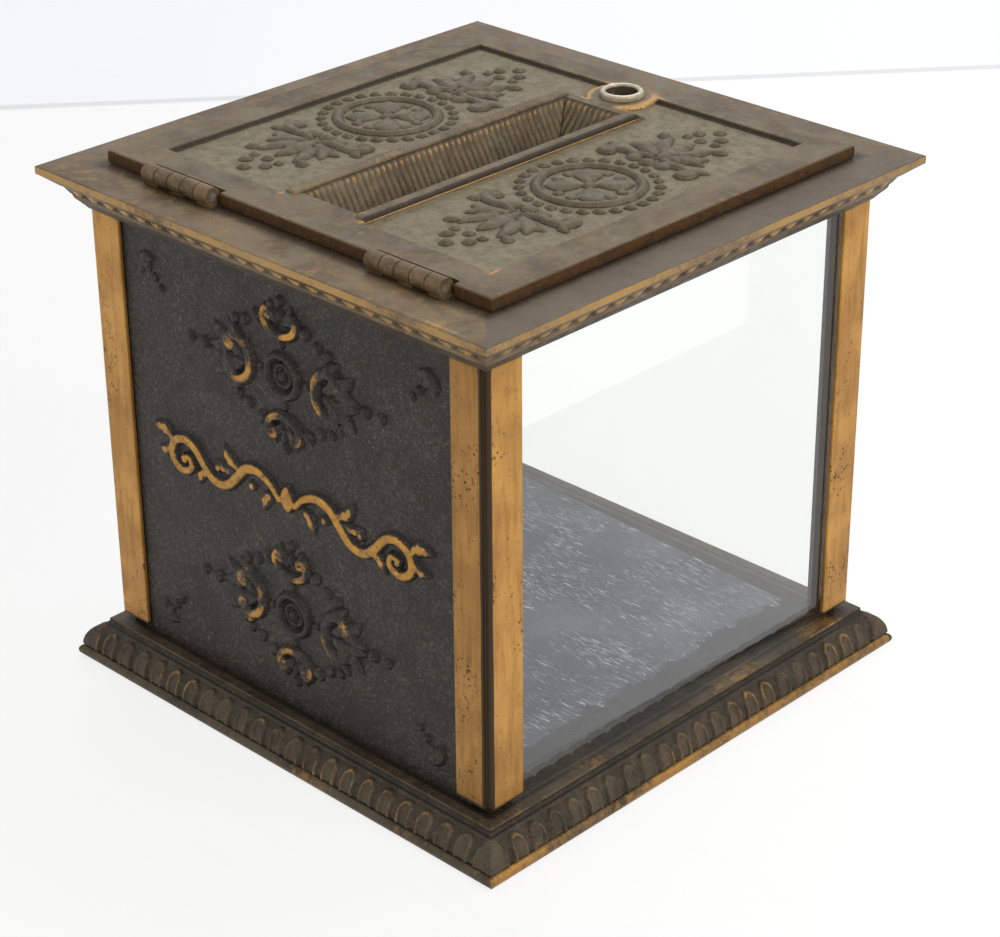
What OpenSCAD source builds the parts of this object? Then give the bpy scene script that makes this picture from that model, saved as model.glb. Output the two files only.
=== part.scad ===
// Glazed counter box for receipts: a square cast-metal case with a moulded base, four corner posts,
// three glass panes, one ornamented cast panel and a hinged, lockable lid with a ribbed receipt trough.
// Millimetres, +Z up. The cast panel faces -Y, the hinges lie along the -Y edge of the lid and
// the lock at its +Y edge. The origin is at the middle of the footprint, on the table.

/* [Body] */
// Outside width across the corner posts, both ways
body_w = 149; // [130:1:190]
// Clear height from the lip of the base to the underside of the cornice
post_h = 128; // [90:1:180]

/* [Base moulding] */
// How far the bottom bead stands out past the posts
base_reach = 10; // [9:0.5:13]
// Height of the base, from the table to its lip
base_h = 12.5; // [11.5:0.5:16]
// Height of the polished bottom bead
bead_h = 3.6; // [2.8:0.2:4]
// How far the lip stands out past the posts
lip_reach = 3; // [2:0.25:4]
// Radius of the rounded swell that carries the flutes
swell_r = 7.6; // [7.2:0.1:7.8]
// Depth of the lip above the ledge of the swell
lip_h = 1.8; // [1.4:0.1:2.2]
// Distance from one flute to the next
flute_pitch = 7.2; // [6.5:0.1:10]
// Width of a flute
flute_w = 4.6; // [3:0.1:5.4]
// Depth of a flute
flute_depth = 0.6; // [0.4:0.1:0.8]
// Thickness of the cast floor of the base
web_t = 2.5; // [2:0.25:4]

/* [Floor plate] */
// Side of the loose square floor plate
floor_w = 132; // [110:1:134]
// Thickness of the floor plate
floor_t = 1.2; // [0.8:0.1:2]
// How far the loose plate lies turned from square, in degrees
floor_turn = -2.6; // [-2.6:0.1:2.6]

/* [Corner posts] */
// Width of each face of a post
post_leg = 12.5; // [11:0.5:14]
// How much narrower the faces of the other three posts are than those of the first
leg_trim = 1.5; // [0:0.1:1.6]
// Thickness of a post behind its face
post_leg_t = 5; // [5:0.25:5.5]
// Side of the square core that the tie rod passes through
post_core = 9; // [8.5:0.25:10]
// Width of the sunk corner, along the panel side of the first post
notch_w = 2.5; // [1:0.25:2.75]
// Depth of the sunk corner
notch_d = 1.4; // [0.8:0.1:2]
// Height of the set-back foot of a post
foot_h = 2.2; // [1:0.2:3]
// How far the foot is set back from the faces
foot_inset = 0.6; // [0.4:0.1:0.8]
// Depth of the socket in the base that locates the foot
socket_d = 1; // [0.5:0.1:1.5]

/* [Panes and panel] */
// Thickness of the glass panes and of the cast panel's plate
pane_t = 2.4; // [2:0.1:2.6]
// How far the panes lie behind the faces of the posts
pane_setback = 1.3; // [1:0.1:1.5]
// Depth of the grooves in the posts and in the cornice
groove_d = 3; // [2:0.25:3.5]
// Depth of the groove in the base
base_groove_d = 2; // [1.5:0.25:3]
// Highest relief of the ornament on the cast panel
relief_h = 1.8; // [0.8:0.1:2]
// Height of the middle of the upper medallion above the lip of the base
upper_medallion_z = 101.8; // [90:0.5:105]
// Height of the middle of the lower medallion above the lip of the base
lower_medallion_z = 30.5; // [24:0.5:38]
// Height of the middle of the flourish between them
flourish_z = 66; // [60:0.5:72]

/* [Cornice and top frame] */
// How far the top frame stands out past the posts
cornice_reach = 10; // [8.5:0.5:13]
// Height of the top frame, from the posts to its flat top
cornice_h = 12.3; // [11.8:0.1:15]
// Height of the bright edge of the top plate
edge_h = 2.4; // [1.6:0.2:2.6]
// Thickness of the flat top plate
plate_t = 3; // [2.6:0.2:3.6]
// Distance from one dentil to the next
dentil_pitch = 6.65; // [5.4:0.05:7]
// Width of the gap between dentils
dentil_gap_w = 3; // [1.6:0.1:3.4]
// Depth of the gap between dentils
dentil_depth = 1.4; // [0.8:0.1:1.5]
// Sideways lean of a dentil over its height
dentil_lean = 1.2; // [0:0.1:2]
// Distance of the first gap between dentils from the middle of a side
dentil_shift = 2.2; // [0:0.1:3]
// Width of the frame's side borders beside the lid
side_border = 12.8; // [9:0.2:14]
// Width of the frame's front and back borders beside the lid
end_border = 15; // [12:0.2:17]
// Width of the ledge that carries the lid along both sides
side_ledge = 9.7; // [6:0.1:12]
// Width of the ledge that carries the lid at the lock
lock_ledge = 4.4; // [4:0.1:5]
// Width of the ledge that carries the lid at the hinges
hinge_ledge = 12.5; // [12:0.1:13]

/* [Lid] */
// Thickness of the lid
lid_t = 3.4; // [3.2:0.1:5]
// Gap between the closed lid and the top frame
lid_gap = 0.3; // [0.2:0.05:0.4]
// Width of the lid's border along both sides
lid_side_margin = 11.5; // [10:0.5:15]
// Width of the lid's border at the hinges
lid_hinge_margin = 11.8; // [11.4:0.2:15]
// Width of the lid's border at the lock
lid_lock_margin = 8.6; // [8:0.2:12]
// Depth of the sunk fields
field_depth = 1.3; // [0.8:0.1:1.4]
// Distance from the middle of the lid to the sunk fields
field_inner = 15.4; // [15.2:0.1:17]

/* [Receipt trough] */
// Width of the trough at its rim
trough_w = 21.6; // [18:0.4:21.6]
// Length of the trough at its rim
trough_l = 99.5; // [80:0.5:100]
// Distance of the middle of the trough from the middle of the lid, towards the hinges
trough_shift = 5; // [4.6:0.2:5.4]
// Depth of the trough below the top of the lid
trough_h = 13.5; // [10:0.5:15]
// Thickness of the trough's walls
trough_wall = 1.6; // [1.2:0.1:2]
// Width of the receipt slot
slot_w = 6; // [5.2:0.1:8]
// Length of the receipt slot
slot_l = 76; // [60:1:80]
// Distance from one rib of the trough to the next
rib_pitch = 2.15; // [1.8:0.05:3]
// Height of a rib
rib_h = 0.45; // [0.3:0.05:0.6]
// Height of the round bars beside the trough
bar_h = 1; // [0.4:0.1:1.4]
// Width of the round bars beside the trough
bar_w = 4.4; // [2:0.1:4.4]

/* [Lid ornament] */
// Radius of a medallion's ring
ring_r = 13.9; // [10:0.1:15]
// Width of a medallion's ring
ring_w = 2.2; // [1.6:0.1:2.6]
// Radius of the circle of beads
bead_circle_r = 18.4; // [17.6:0.1:19]
// Number of beads in the circle
bead_count = 27; // [20:1:28]
// Diameter of a bead
bead_d = 2.5; // [1.8:0.1:2.8]

/* [Hinges] */
// Distance of each hinge from the middle of the lid
hinge_x = 42.5; // [35:0.5:46]
// How far both hinges are set towards +X
hinge_shift = 2.4; // [0:0.2:3]
// Width of a hinge
hinge_w = 26; // [20:0.5:30]
// Radius of the hinge knuckles
knuckle_r = 2.5; // [2.3:0.1:2.6]
// Number of knuckles in a hinge
knuckle_count = 5; // [3:2:7]
// Gap between neighbouring knuckles
knuckle_gap = 0.3; // [0.2:0.05:0.5]
// Distance of the hinge pin in front of the lid's edge
pin_reach = 1.4; // [1.3:0.1:1.8]
// Radius of the hinge pins
pin_r = 1.1; // [0.9:0.05:1.2]
// Running clearance of the lid's knuckles on the pin
pin_clearance = 0.05; // [0.03:0.01:0.08]
// Thickness of the hinge leaves
leaf_t = 1; // [0.8:0.1:1.1]
// Reach of the hinge leaves from the pin, under the lid
leaf_reach = 11.2; // [10:0.1:11.4]

/* [Lock] */
// Distance of the lock's axis from the lid's free edge
lock_inset = 13.1; // [13:0.1:14]
// Outer radius of the lock's bright ring
lock_ring_r = 6.25; // [6:0.05:6.6]
// Height of the bright ring above the lid
lock_ring_h = 1.8; // [1:0.1:2.4]
// Outer radius of the lock housing
housing_r = 5.4; // [5.2:0.05:5.6]
// Radius of the lock's bore
lock_bore_r = 4.45; // [4.2:0.05:4.6]
// Running clearance of the plug in its bore
plug_clearance = 0.08; // [0.05:0.01:0.1]
// How far the face of the plug lies below the lid
plug_depth = 2; // [1:0.1:3]
// Thickness of the wall under the plug
housing_floor = 1.2; // [1:0.1:1.6]
// Outer radius of the nut that clamps the lock
lock_nut_r = 7; // [6.6:0.1:7.2]
// Thickness of that nut
lock_nut_h = 2.2; // [1.6:0.1:2.4]
// Length of the cam from the lock's axis
cam_l = 11.6; // [10:0.1:11.8]
// Width of the cam
cam_w = 8; // [6:0.2:9]
// Thickness of the cam
cam_t = 1.8; // [1.4:0.1:2]
// Thickness of the keeper under the top plate
keeper_t = 1.2; // [1:0.1:1.6]
// Width of the keeper
keeper_w = 24; // [22:0.5:34]

/* [Fasteners] */
// Radius of the tie rods in the posts
rod_r = 1.5; // [1.25:0.05:1.6]
// Clearance around a tie rod
rod_clearance = 0.15; // [0.1:0.05:0.25]
// How far a tie rod screws into the top frame
rod_grip = 8; // [5:0.5:9]
// Outer radius of the tie rod nuts across corners
nut_r = 3.2; // [3:0.1:3.4]
// Height of the tie rod nuts
nut_h = 2.4; // [2:0.1:3]
// Depth of the pockets for the nuts under the base
nut_pocket_d = 4; // [3.5:0.1:5]
// Radius of the small screws' shanks
screw_r = 1; // [0.8:0.05:1.1]
// Radius of the small screws' heads
screw_head_r = 1.9; // [1.6:0.05:2]
// Height of the small screws' countersunk heads
screw_head_h = 0.9; // [0.7:0.05:1]
// Length of the small screws
screw_l = 2.6; // [2.2:0.1:2.7]

/* [Hidden] */
$fn = 64;

patina = [0.43, 0.38, 0.33];
dark_bronze = [0.25, 0.23, 0.2];
bright_brass = [0.72, 0.55, 0.28];
dark_panel = [0.24, 0.23, 0.22];
clear_glass = [0.8, 0.9, 0.92, 0.35];
slate_grey = [0.42, 0.43, 0.47];
nickel = [0.74, 0.71, 0.64];
steel = [0.5, 0.5, 0.5];

// Cuts run this far past the faces that they open
past = 1;
// Running gap between flat faces of parts that move past each other
running_gap = 0.3;
// Play of a threaded or located part in its hole
thread_gap = 0.05;
// Play of a pane in its groove, on each side
pane_play = 0.15;

body_half = body_w / 2;
base_half = body_half + base_reach;
lip_half = body_half + lip_reach;
ledge_z = base_h - lip_h;
post_top = base_h + post_h;
edge_half = body_half + cornice_reach;
top_z = post_top + cornice_h;
plate_z = top_z - plate_t;

// Measured inwards from the faces of the posts
pane_back = pane_setback + pane_t + 2 * pane_play;
pane_half = body_half - post_leg + groove_d - 2 * pane_play;
groove_half = pane_half + pane_play;
inner_half = body_half - post_leg_t;
rod_at = body_half - post_core / 2 - notch_d / 2;

lid_half_x = edge_half - side_border;
lid_half_y = edge_half - end_border;
lid_z = top_z + lid_gap;
lid_top = lid_z + lid_t;
hole_half_x = lid_half_x - side_ledge;
hole_front = -lid_half_y + hinge_ledge;
hole_back = lid_half_y - lock_ledge;

pin_y = -lid_half_y - pin_reach;
pin_z = top_z + running_gap + knuckle_r;
knuckle_l = (hinge_w - (knuckle_count - 1) * knuckle_gap) / knuckle_count;
leaf_end_y = pin_y + leaf_reach;
lid_leaf_y = pin_y + knuckle_r + leaf_t;
lid_notch_y = pin_y + knuckle_r + 1.3;
frame_leaf_y = pin_y - knuckle_r + 1.3;
leaf_screw_y = (lid_notch_y + leaf_end_y) / 2;

lock_y = lid_half_y - lock_inset;
keeper_z = plate_z - keeper_t;
cam_top = keeper_z - running_gap;
housing_z = cam_top + running_gap;
plug_z = housing_z + housing_floor;
plug_top = lid_top - plug_depth;
lock_boss_r = lock_ring_r + 4;
keeper_screw_x = keeper_w / 2 - screw_head_r - 0.6;
keeper_screw_y = (hole_back + inner_half) / 2;

trough_y = -trough_shift;
field_front = -lid_half_y + lid_hinge_margin;
field_back = lid_half_y - lid_lock_margin;
field_outer = lid_half_x - lid_side_margin;
field_mid_x = (field_inner + field_outer) / 2;
field_z = lid_top - field_depth;

// Both halves of an outline that is drawn on the positive side
module both_halves() {
  children();
  mirror([1, 0]) children();
}

// A square moulding: the outline gives its half width against its height
module square_moulding(reach) {
  intersection() {
    rotate([90, 0, 0]) linear_extrude(2 * reach, center = true) both_halves() children();
    rotate([90, 0, 90]) linear_extrude(2 * reach, center = true) both_halves() children();
  }
}

// The four sides or corners, from the -Y side round to the -X side
module four_ways() {
  for (side = [0:3]) rotate([0, 0, 90 * side]) children();
}

// A countersunk screw pointing down, with the top of its head at the origin
module countersunk_screw() {
  rotate_extrude()
    polygon([[0, -screw_l], [screw_r, -screw_l], [screw_r, -screw_head_h], [screw_head_r, 0], [0, 0]]);
}

// Outline of the base: bead, swell, ledge, cove and lip
module base_outline(recess) {
  swell_x = base_half - 1 - swell_r;
  square([base_half - bead_h / 2, bead_h]);
  translate([base_half - bead_h / 2, bead_h / 2]) circle(d = bead_h);
  intersection() {
    translate([swell_x, bead_h]) circle(r = swell_r - recess);
    square([base_half, ledge_z]);
  }
  square([lip_half, base_h]);
  difference() {
    translate([lip_half, ledge_z]) square(lip_h * 0.6);
    translate([lip_half + lip_h * 0.6, ledge_z + lip_h * 0.6]) circle(r = lip_h * 0.6);
  }
}

// Round-headed flutes along one side of the base
module flute_row() {
  flute_foot = bead_h + 0.5;
  flute_head = ledge_z - 0.6 - flute_w / 2;
  flute_count = floor((2 * (base_half - swell_r) - flute_w) / flute_pitch / 2);
  for (i = [-flute_count:flute_count])
    translate([i * flute_pitch, -body_half, 0])
      rotate([90, 0, 0])
        linear_extrude(base_reach + past) {
          translate([-flute_w / 2, flute_foot]) square([flute_w, flute_head - flute_foot]);
          translate([0, flute_head]) circle(d = flute_w);
        }
}

module base_frame() {
  pocket_half = body_half - post_leg;
  color(dark_bronze)
    difference() {
      square_moulding(base_half + past) base_outline(0);
      difference() {
        four_ways() flute_row();
        square_moulding(base_half + past) base_outline(flute_depth);
      }
      translate([-pocket_half, -pocket_half, -past])
        cube([2 * pocket_half, 2 * pocket_half, base_h - web_t + past]);
      four_ways() {
        translate([-groove_half, -body_half + pane_setback, base_h - base_groove_d])
          cube([2 * groove_half, pane_back - pane_setback, base_groove_d + past]);
        translate([rod_at, -rod_at, -past]) cylinder(r = rod_r + rod_clearance, h = base_h + 2 * past);
        translate([rod_at, -rod_at, -past]) cylinder(r = nut_r + 1, h = nut_pocket_d + past);
        foot_block(socket_d, past, thread_gap);
      }
    }
}

module floor_plate() {
  color(slate_grey)
    translate([0, 0, base_h])
      rotate([0, 0, floor_turn])
        translate([-floor_w / 2, -floor_w / 2, 0])
          cube([floor_w, floor_w, floor_t]);
}

// Set-back foot of the first post, from a depth below the lip up to a height above it
module foot_block(depth, height, play) {
  foot_side = post_core - foot_inset - notch_d;
  translate([body_half - post_core - play, -body_half + foot_inset + notch_d - play, base_h - depth])
    cube([foot_side + 2 * play, foot_side + 2 * play, depth + height]);
}

// Plan of a post at the first corner: two legs, a square core and a groove in each leg
module post_plan(leg) {
  leg_end = body_half - leg;
  difference() {
    union() {
      translate([leg_end, -body_half]) square([leg, post_leg_t]);
      translate([inner_half, -body_half]) square([post_leg_t, leg]);
      translate([body_half - post_core, -body_half]) square(post_core);
    }
    translate([leg_end - past, -body_half + pane_setback])
      square([groove_half - leg_end + past, pane_back - pane_setback]);
    translate([body_half - pane_back, -groove_half])
      square([pane_back - pane_setback, groove_half - leg_end + past]);
  }
}

// Plan of the first post, which alone has a sunk corner along its panel side
module sunk_post_plan() {
  difference() {
    post_plan(post_leg);
    translate([body_half - notch_w, -body_half - past]) square([notch_w + past, notch_d + past]);
  }
}

module post(side) {
  color(bright_brass)
    rotate([0, 0, 90 * side])
      difference() {
        union() {
          translate([0, 0, base_h + foot_h])
            linear_extrude(post_h - foot_h)
              if (side == 0) sunk_post_plan();
              else post_plan(post_leg - leg_trim);
          foot_block(socket_d, foot_h, 0);
        }
        translate([rod_at, -rod_at, 0]) cylinder(r = rod_r + rod_clearance, h = top_z);
      }
}

module post_front_right() { post(0); }
module post_back_right() { post(1); }
module post_back_left() { post(2); }
module post_front_left() { post(3); }

// Flat sheet in the grooves of the -Y side
module pane_sheet() {
  translate([-pane_half, -body_half + pane_setback + pane_play, base_h - base_groove_d])
    cube([2 * pane_half, pane_t, base_groove_d + post_h + groove_d - 2 * pane_play]);
}

module glass(side) {
  color(clear_glass) rotate([0, 0, 90 * side]) pane_sheet();
}

module glass_right() { glass(1); }
module glass_back() { glass(2); }
module glass_left() { glass(3); }

// Pointed leaf lying on the ground plane, from the origin along +X
module leaf(length, width, height) {
  arc_r = (length * length / 4 + width * width / 4) / width;
  linear_extrude(height)
    intersection() {
      translate([length / 2, arc_r - width / 2]) circle(r = arc_r);
      translate([length / 2, -arc_r + width / 2]) circle(r = arc_r);
    }
}

// Radius of the round that spans a width and rises to a height
function crown_r(width, height) = width * width / (8 * height) + height / 2;

// Section of a rounded bar that stands on the X axis
module crown_section(width, height) {
  intersection() {
    translate([0, height - crown_r(width, height)]) circle(r = crown_r(width, height));
    translate([-width, 0]) square([2 * width, 2 * height]);
  }
}

// Rounded ring or arc lying on the ground plane
module half_round_arc(radius, width, height, sweep) {
  rotate_extrude(angle = sweep) translate([radius, 0]) crown_section(width, height);
}

// Low round bead on the ground plane
module bead(diameter, height) {
  intersection() {
    translate([0, 0, height - crown_r(diameter, height)]) sphere(r = crown_r(diameter, height));
    cylinder(r = diameter, h = 2 * height);
  }
}

// Scrolled cluster on one side of a panel medallion, opening outwards along +X
module side_cluster() {
  translate([16.8, 0, 0]) rotate([0, 0, 90]) half_round_arc(4.6, 2.4, relief_h, 180);
  translate([16.6, 0, 0]) leaf(9, 2.6, relief_h * 0.7);
  for (s = [0, 1]) mirror([0, s, 0]) {
    translate([18.6, 4.7, 0]) bead(3.8, relief_h);
    translate([19.6, 2.2, 0]) rotate([0, 0, 32]) leaf(8.6, 4, relief_h * 0.75);
  }
  translate([30.4, 0, 0]) bead(3.2, relief_h * 0.9);
  translate([36.2, 0, 0]) bead(2.8, relief_h * 0.8);
}

// Smaller cluster above or below the middle of a panel medallion, growing along +Y
module end_cluster() {
  translate([0, 15.4, 0]) rotate([0, 0, 180]) half_round_arc(3.7, 2.2, relief_h, 180);
  for (s = [0, 1]) mirror([s, 0, 0]) {
    translate([4.4, 16.4, 0]) bead(3, relief_h);
    translate([3.2, 19, 0]) bead(2.4, relief_h * 0.8);
    translate([9.2, 14.6, 0]) bead(3.6, relief_h * 0.9);
    translate([13.8, 12, 0]) bead(3, relief_h * 0.8);
    translate([17.8, 11, 0]) bead(2.7, relief_h * 0.8);
  }
  translate([0, 21, 0]) bead(2.6, relief_h * 0.9);
}

// Medallion of the cast panel: ringed boss, two side clusters, two end clusters and chains of beads
module panel_medallion() {
  half_round_arc(5.6, 1.8, relief_h * 0.9, 360);
  half_round_arc(3, 1, relief_h * 0.5, 360);
  bead(2.8, relief_h);
  for (turn = [0:90:270]) rotate([0, 0, turn]) translate([8.9, 0, 0]) bead(2, relief_h * 0.6);
  for (turn = [0, 180]) rotate([0, 0, turn]) {
    side_cluster();
    end_cluster();
  }
}

// Spray in a corner of the cast panel, growing from the corner along +X and +Y
module corner_sprig() {
  for (turn = [10, 45, 80]) rotate([0, 0, turn]) translate([1.5, 0, 0]) leaf(8, 3, relief_h * 0.8);
  for (turn = [27, 63]) rotate([0, 0, turn]) translate([8.6, 0, 0]) bead(2, relief_h * 0.8);
  rotate([0, 0, 45]) translate([11.6, 0, 0]) bead(1.8, relief_h * 0.7);
}

// Right half of the running scroll across the middle of the panel, along +X
module flourish_half() {
  translate([12.5, -4.5, 0]) rotate([0, 0, 30]) half_round_arc(9, 2.6, relief_h, 125);
  translate([20.6, -0.6, 0]) bead(3.6, relief_h);
  translate([27.5, 2.6, 0]) rotate([0, 0, 210]) half_round_arc(7.6, 2.4, relief_h, 120);
  translate([34.4, -0.5, 0]) bead(3.4, relief_h);
  translate([40.2, -3.2, 0]) rotate([0, 0, -70]) half_round_arc(6.4, 2.2, relief_h, 220);
  translate([40.4, -5, 0]) rotate([0, 0, 60]) half_round_arc(2.6, 1.8, relief_h, 220);
  translate([46, -1, 0]) rotate([0, 0, 12]) leaf(9, 3.4, relief_h * 0.9);
  translate([19.6, 0.4, 0]) rotate([0, 0, 42]) leaf(9, 3.2, relief_h * 0.8);
  translate([33.6, -1.6, 0]) rotate([0, 0, -48]) leaf(6, 2.6, relief_h * 0.8);
  translate([5, -1.6, 0]) rotate([0, 0, -52]) leaf(7, 3, relief_h * 0.8);
}

module flourish() {
  rotate([0, 0, 45]) translate([-2.8, -2.8, 0]) cube([5.6, 5.6, relief_h]);
  for (s = [0, 1]) mirror([s, 0, 0]) flourish_half();
}

module front_panel() {
  ground_y = -body_half + pane_setback + pane_play;
  sprig_x = body_half - post_leg - 3;
  sprig_z = [base_h + 5, post_top - 5];
  color(dark_panel) {
    pane_sheet();
    translate([0, ground_y, base_h]) rotate([90, 0, 0]) {
      translate([0, upper_medallion_z, 0]) panel_medallion();
      translate([0, lower_medallion_z, 0]) panel_medallion();
      translate([0, flourish_z, 0]) flourish();
    }
    for (level = [0, 1], s = [0, 1])
      mirror([s, 0, 0])
        translate([-sprig_x, ground_y, sprig_z[level]])
          rotate([90, 0, 0]) rotate([0, 0, level == 0 ? 0 : -90]) corner_sprig();
  }
}

// Outline of the top frame above the posts: cove, flat strip, dentil band, soffit and bright edge
module cornice_outline(recess) {
  edge_z = cornice_h - edge_h;
  polygon([[0, 0], [body_half + 0.4, 0], [body_half + 3.1, 3.3], [body_half + 3.4, 4.3],
      [body_half + 3.7 - recess, 4.4], [body_half + 5.1 - recess, 6.5], [body_half + 5.8, 6.8], [edge_half - 0.3, edge_z], [edge_half, edge_z + 0.3],
      [edge_half, cornice_h - 0.3], [edge_half - 0.3, cornice_h], [0, cornice_h]]);
}

// Leaning gaps between the dentils along one side
module dentil_gap_row(lean) {
  band_foot = 3.8;
  band_top = 6.7;
  gap_count = floor((body_half + 1) / dentil_pitch);
  for (i = [-gap_count:gap_count])
    translate([i * dentil_pitch + sign(lean) * dentil_shift, -body_half + dentil_depth, 0])
      rotate([90, 0, 0])
        linear_extrude(cornice_reach)
          polygon([[lean - dentil_gap_w / 2, band_foot], [lean + dentil_gap_w / 2, band_foot],
              [dentil_gap_w / 2 - lean, band_top], [-dentil_gap_w / 2 - lean, band_top]]);
}

module top_frame() {
  boss_side = post_core + 1;
  color(patina)
    translate([0, 0, post_top])
      difference() {
        union() {
          difference() {
            square_moulding(edge_half + past) cornice_outline(0);
            difference() {
              for (side = [0:3])
                rotate([0, 0, 90 * side]) dentil_gap_row((side % 2 == 0 ? 0.5 : -0.5) * dentil_lean);
              square_moulding(edge_half + past) cornice_outline(dentil_depth);
            }
            translate([-inner_half, -inner_half, -past])
              cube([2 * inner_half, 2 * inner_half, cornice_h - plate_t + past]);
          }
          four_ways()
            translate([body_half - boss_side, -body_half + notch_d, 0])
              cube([boss_side - notch_d, boss_side - notch_d, cornice_h - plate_t]);
        }
        translate([-hole_half_x, hole_front, 0]) cube([2 * hole_half_x, hole_back - hole_front, cornice_h + past]);
        four_ways() {
          translate([-groove_half, -body_half + pane_setback, -past])
            cube([2 * groove_half, pane_back - pane_setback, groove_d + past]);
          translate([rod_at, -rod_at, -past]) cylinder(r = rod_r + thread_gap, h = rod_grip + past + thread_gap);
        }
        for (s = [-1, 1]) translate([s * hinge_x + hinge_shift, 0, 0]) {
          translate([-hinge_w / 2 - thread_gap, frame_leaf_y - thread_gap, cornice_h - leaf_t])
            cube([hinge_w + 2 * thread_gap, leaf_end_y - frame_leaf_y + 2 * thread_gap, leaf_t + past]);
          for (t = [-1, 1])
            translate([t * hinge_w / 3, leaf_screw_y, cornice_h - plate_t - past])
              cylinder(r = screw_r + thread_gap, h = plate_t + past);
        }
        for (s = [-1, 1])
          translate([s * keeper_screw_x, keeper_screw_y, cornice_h - plate_t - past])
            cylinder(r = screw_r + thread_gap, h = screw_l - keeper_t + past + thread_gap);
      }
}

module tie_rods() {
  rod_foot = nut_pocket_d - nut_h - 0.8;
  color(steel)
    four_ways()
      translate([rod_at, -rod_at, rod_foot]) cylinder(r = rod_r, h = post_top + rod_grip - rod_foot);
}

module tie_rod_nuts() {
  color(steel)
    four_ways()
      translate([rod_at, -rod_at, nut_pocket_d - nut_h])
        difference() {
          cylinder(r = nut_r, h = nut_h, $fn = 6);
          translate([0, 0, -past]) cylinder(r = rod_r + thread_gap, h = nut_h + 2 * past);
        }
}

// Left end of a knuckle, counted from the hinge's left end
function knuckle_x(i) = -hinge_w / 2 + i * (knuckle_l + knuckle_gap);

module knuckle(i, bore_r) {
  translate([knuckle_x(i), pin_y, pin_z])
    rotate([0, 90, 0])
      difference() {
        cylinder(r = knuckle_r, h = knuckle_l);
        translate([0, 0, -past]) cylinder(r = bore_r, h = knuckle_l + 2 * past);
      }
}

// Frame leaf: a plate let into the top frame that carries every other knuckle on a foot
module hinge_frame_leaf(s) {
  foot_back_y = pin_y + knuckle_r - 0.6;
  color(bright_brass)
    translate([s * hinge_x + hinge_shift, 0, 0])
      difference() {
        union() {
          translate([-hinge_w / 2, frame_leaf_y, top_z - leaf_t])
            cube([hinge_w, leaf_end_y - frame_leaf_y, leaf_t]);
          for (i = [0:2:knuckle_count - 1]) {
            knuckle(i, pin_r);
            difference() {
              translate([knuckle_x(i), frame_leaf_y, top_z - leaf_t / 2])
                cube([knuckle_l, foot_back_y - frame_leaf_y, pin_z - top_z + leaf_t / 2]);
              translate([knuckle_x(i) - past, pin_y, pin_z])
                rotate([0, 90, 0]) cylinder(r = (knuckle_r + pin_r) / 2, h = knuckle_l + 2 * past);
            }
          }
        }
        for (t = [-1, 1])
          translate([t * hinge_w / 3, leaf_screw_y, top_z])
            countersunk_screw();
      }
}

module hinge_frame_leaf_left() { hinge_frame_leaf(-1); }
module hinge_frame_leaf_right() { hinge_frame_leaf(1); }

module hinge_pin(s) {
  color(steel)
    translate([s * hinge_x + hinge_shift - hinge_w / 2, pin_y, pin_z])
      rotate([0, 90, 0]) cylinder(r = pin_r, h = hinge_w);
}

module hinge_pin_left() { hinge_pin(-1); }
module hinge_pin_right() { hinge_pin(1); }

module hinge_frame_screws() {
  color(steel)
    for (s = [-1, 1], t = [-1, 1])
      translate([s * hinge_x + hinge_shift + t * hinge_w / 3, leaf_screw_y, top_z]) countersunk_screw();
}

// Lid leaf: a plate let into the underside of the lid, with a neck to each of its knuckles
module hinge_lid_leaf(s) {
  color(bright_brass)
    translate([s * hinge_x + hinge_shift, 0, 0])
      difference() {
        union() {
          translate([-hinge_w / 2, lid_leaf_y, lid_z])
            cube([hinge_w, leaf_end_y - lid_leaf_y, leaf_t]);
          for (i = [1:2:knuckle_count - 1]) {
            knuckle(i, pin_r + pin_clearance);
            difference() {
              translate([knuckle_x(i), pin_y, pin_z - knuckle_r])
                cube([knuckle_l, lid_leaf_y - pin_y + leaf_t, leaf_t]);
              translate([knuckle_x(i) - past, pin_y, pin_z])
                rotate([0, 90, 0]) cylinder(r = (knuckle_r + pin_r) / 2, h = knuckle_l + 2 * past);
            }
          }
        }
        for (t = [-1, 1])
          translate([t * hinge_w / 6, leaf_screw_y, lid_z])
            mirror([0, 0, 1]) countersunk_screw();
      }
}

module hinge_lid_leaf_left() { hinge_lid_leaf(-1); }
module hinge_lid_leaf_right() { hinge_lid_leaf(1); }

module hinge_lid_screws() {
  color(steel)
    for (s = [-1, 1], t = [-1, 1])
      translate([s * hinge_x + hinge_shift + t * hinge_w / 6, leaf_screw_y, lid_z])
        mirror([0, 0, 1]) countersunk_screw();
}

module lock_keeper() {
  color(steel)
    difference() {
      translate([-keeper_w / 2, hole_back, keeper_z]) cube([keeper_w, inner_half - hole_back, keeper_t]);
      for (s = [-1, 1])
        translate([s * keeper_screw_x, keeper_screw_y, keeper_z]) mirror([0, 0, 1]) countersunk_screw();
    }
}

module keeper_screws() {
  color(steel)
    for (s = [-1, 1])
      translate([s * keeper_screw_x, keeper_screw_y, keeper_z]) mirror([0, 0, 1]) countersunk_screw();
}

// Tapered rectangular hopper around the trough, widened all round by a wall
module trough_hopper(wall, above, below) {
  slope_x = (trough_w - slot_w) / 2 / trough_h;
  slope_y = (trough_l - slot_l) / 2 / trough_h;
  intersection() {
    rotate([90, 0, 0])
      linear_extrude(trough_l * 2, center = true)
        both_halves()
          polygon([[0, above], [trough_w / 2 + wall + slope_x * above, above],
              [slot_w / 2 + wall - slope_x * below, -trough_h - below], [0, -trough_h - below]]);
    rotate([90, 0, 90])
      linear_extrude(trough_w * 2, center = true)
        both_halves()
          polygon([[0, above], [trough_l / 2 + wall + slope_y * above, above],
              [slot_l / 2 + wall - slope_y * below, -trough_h - below], [0, -trough_h - below]]);
  }
}

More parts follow.
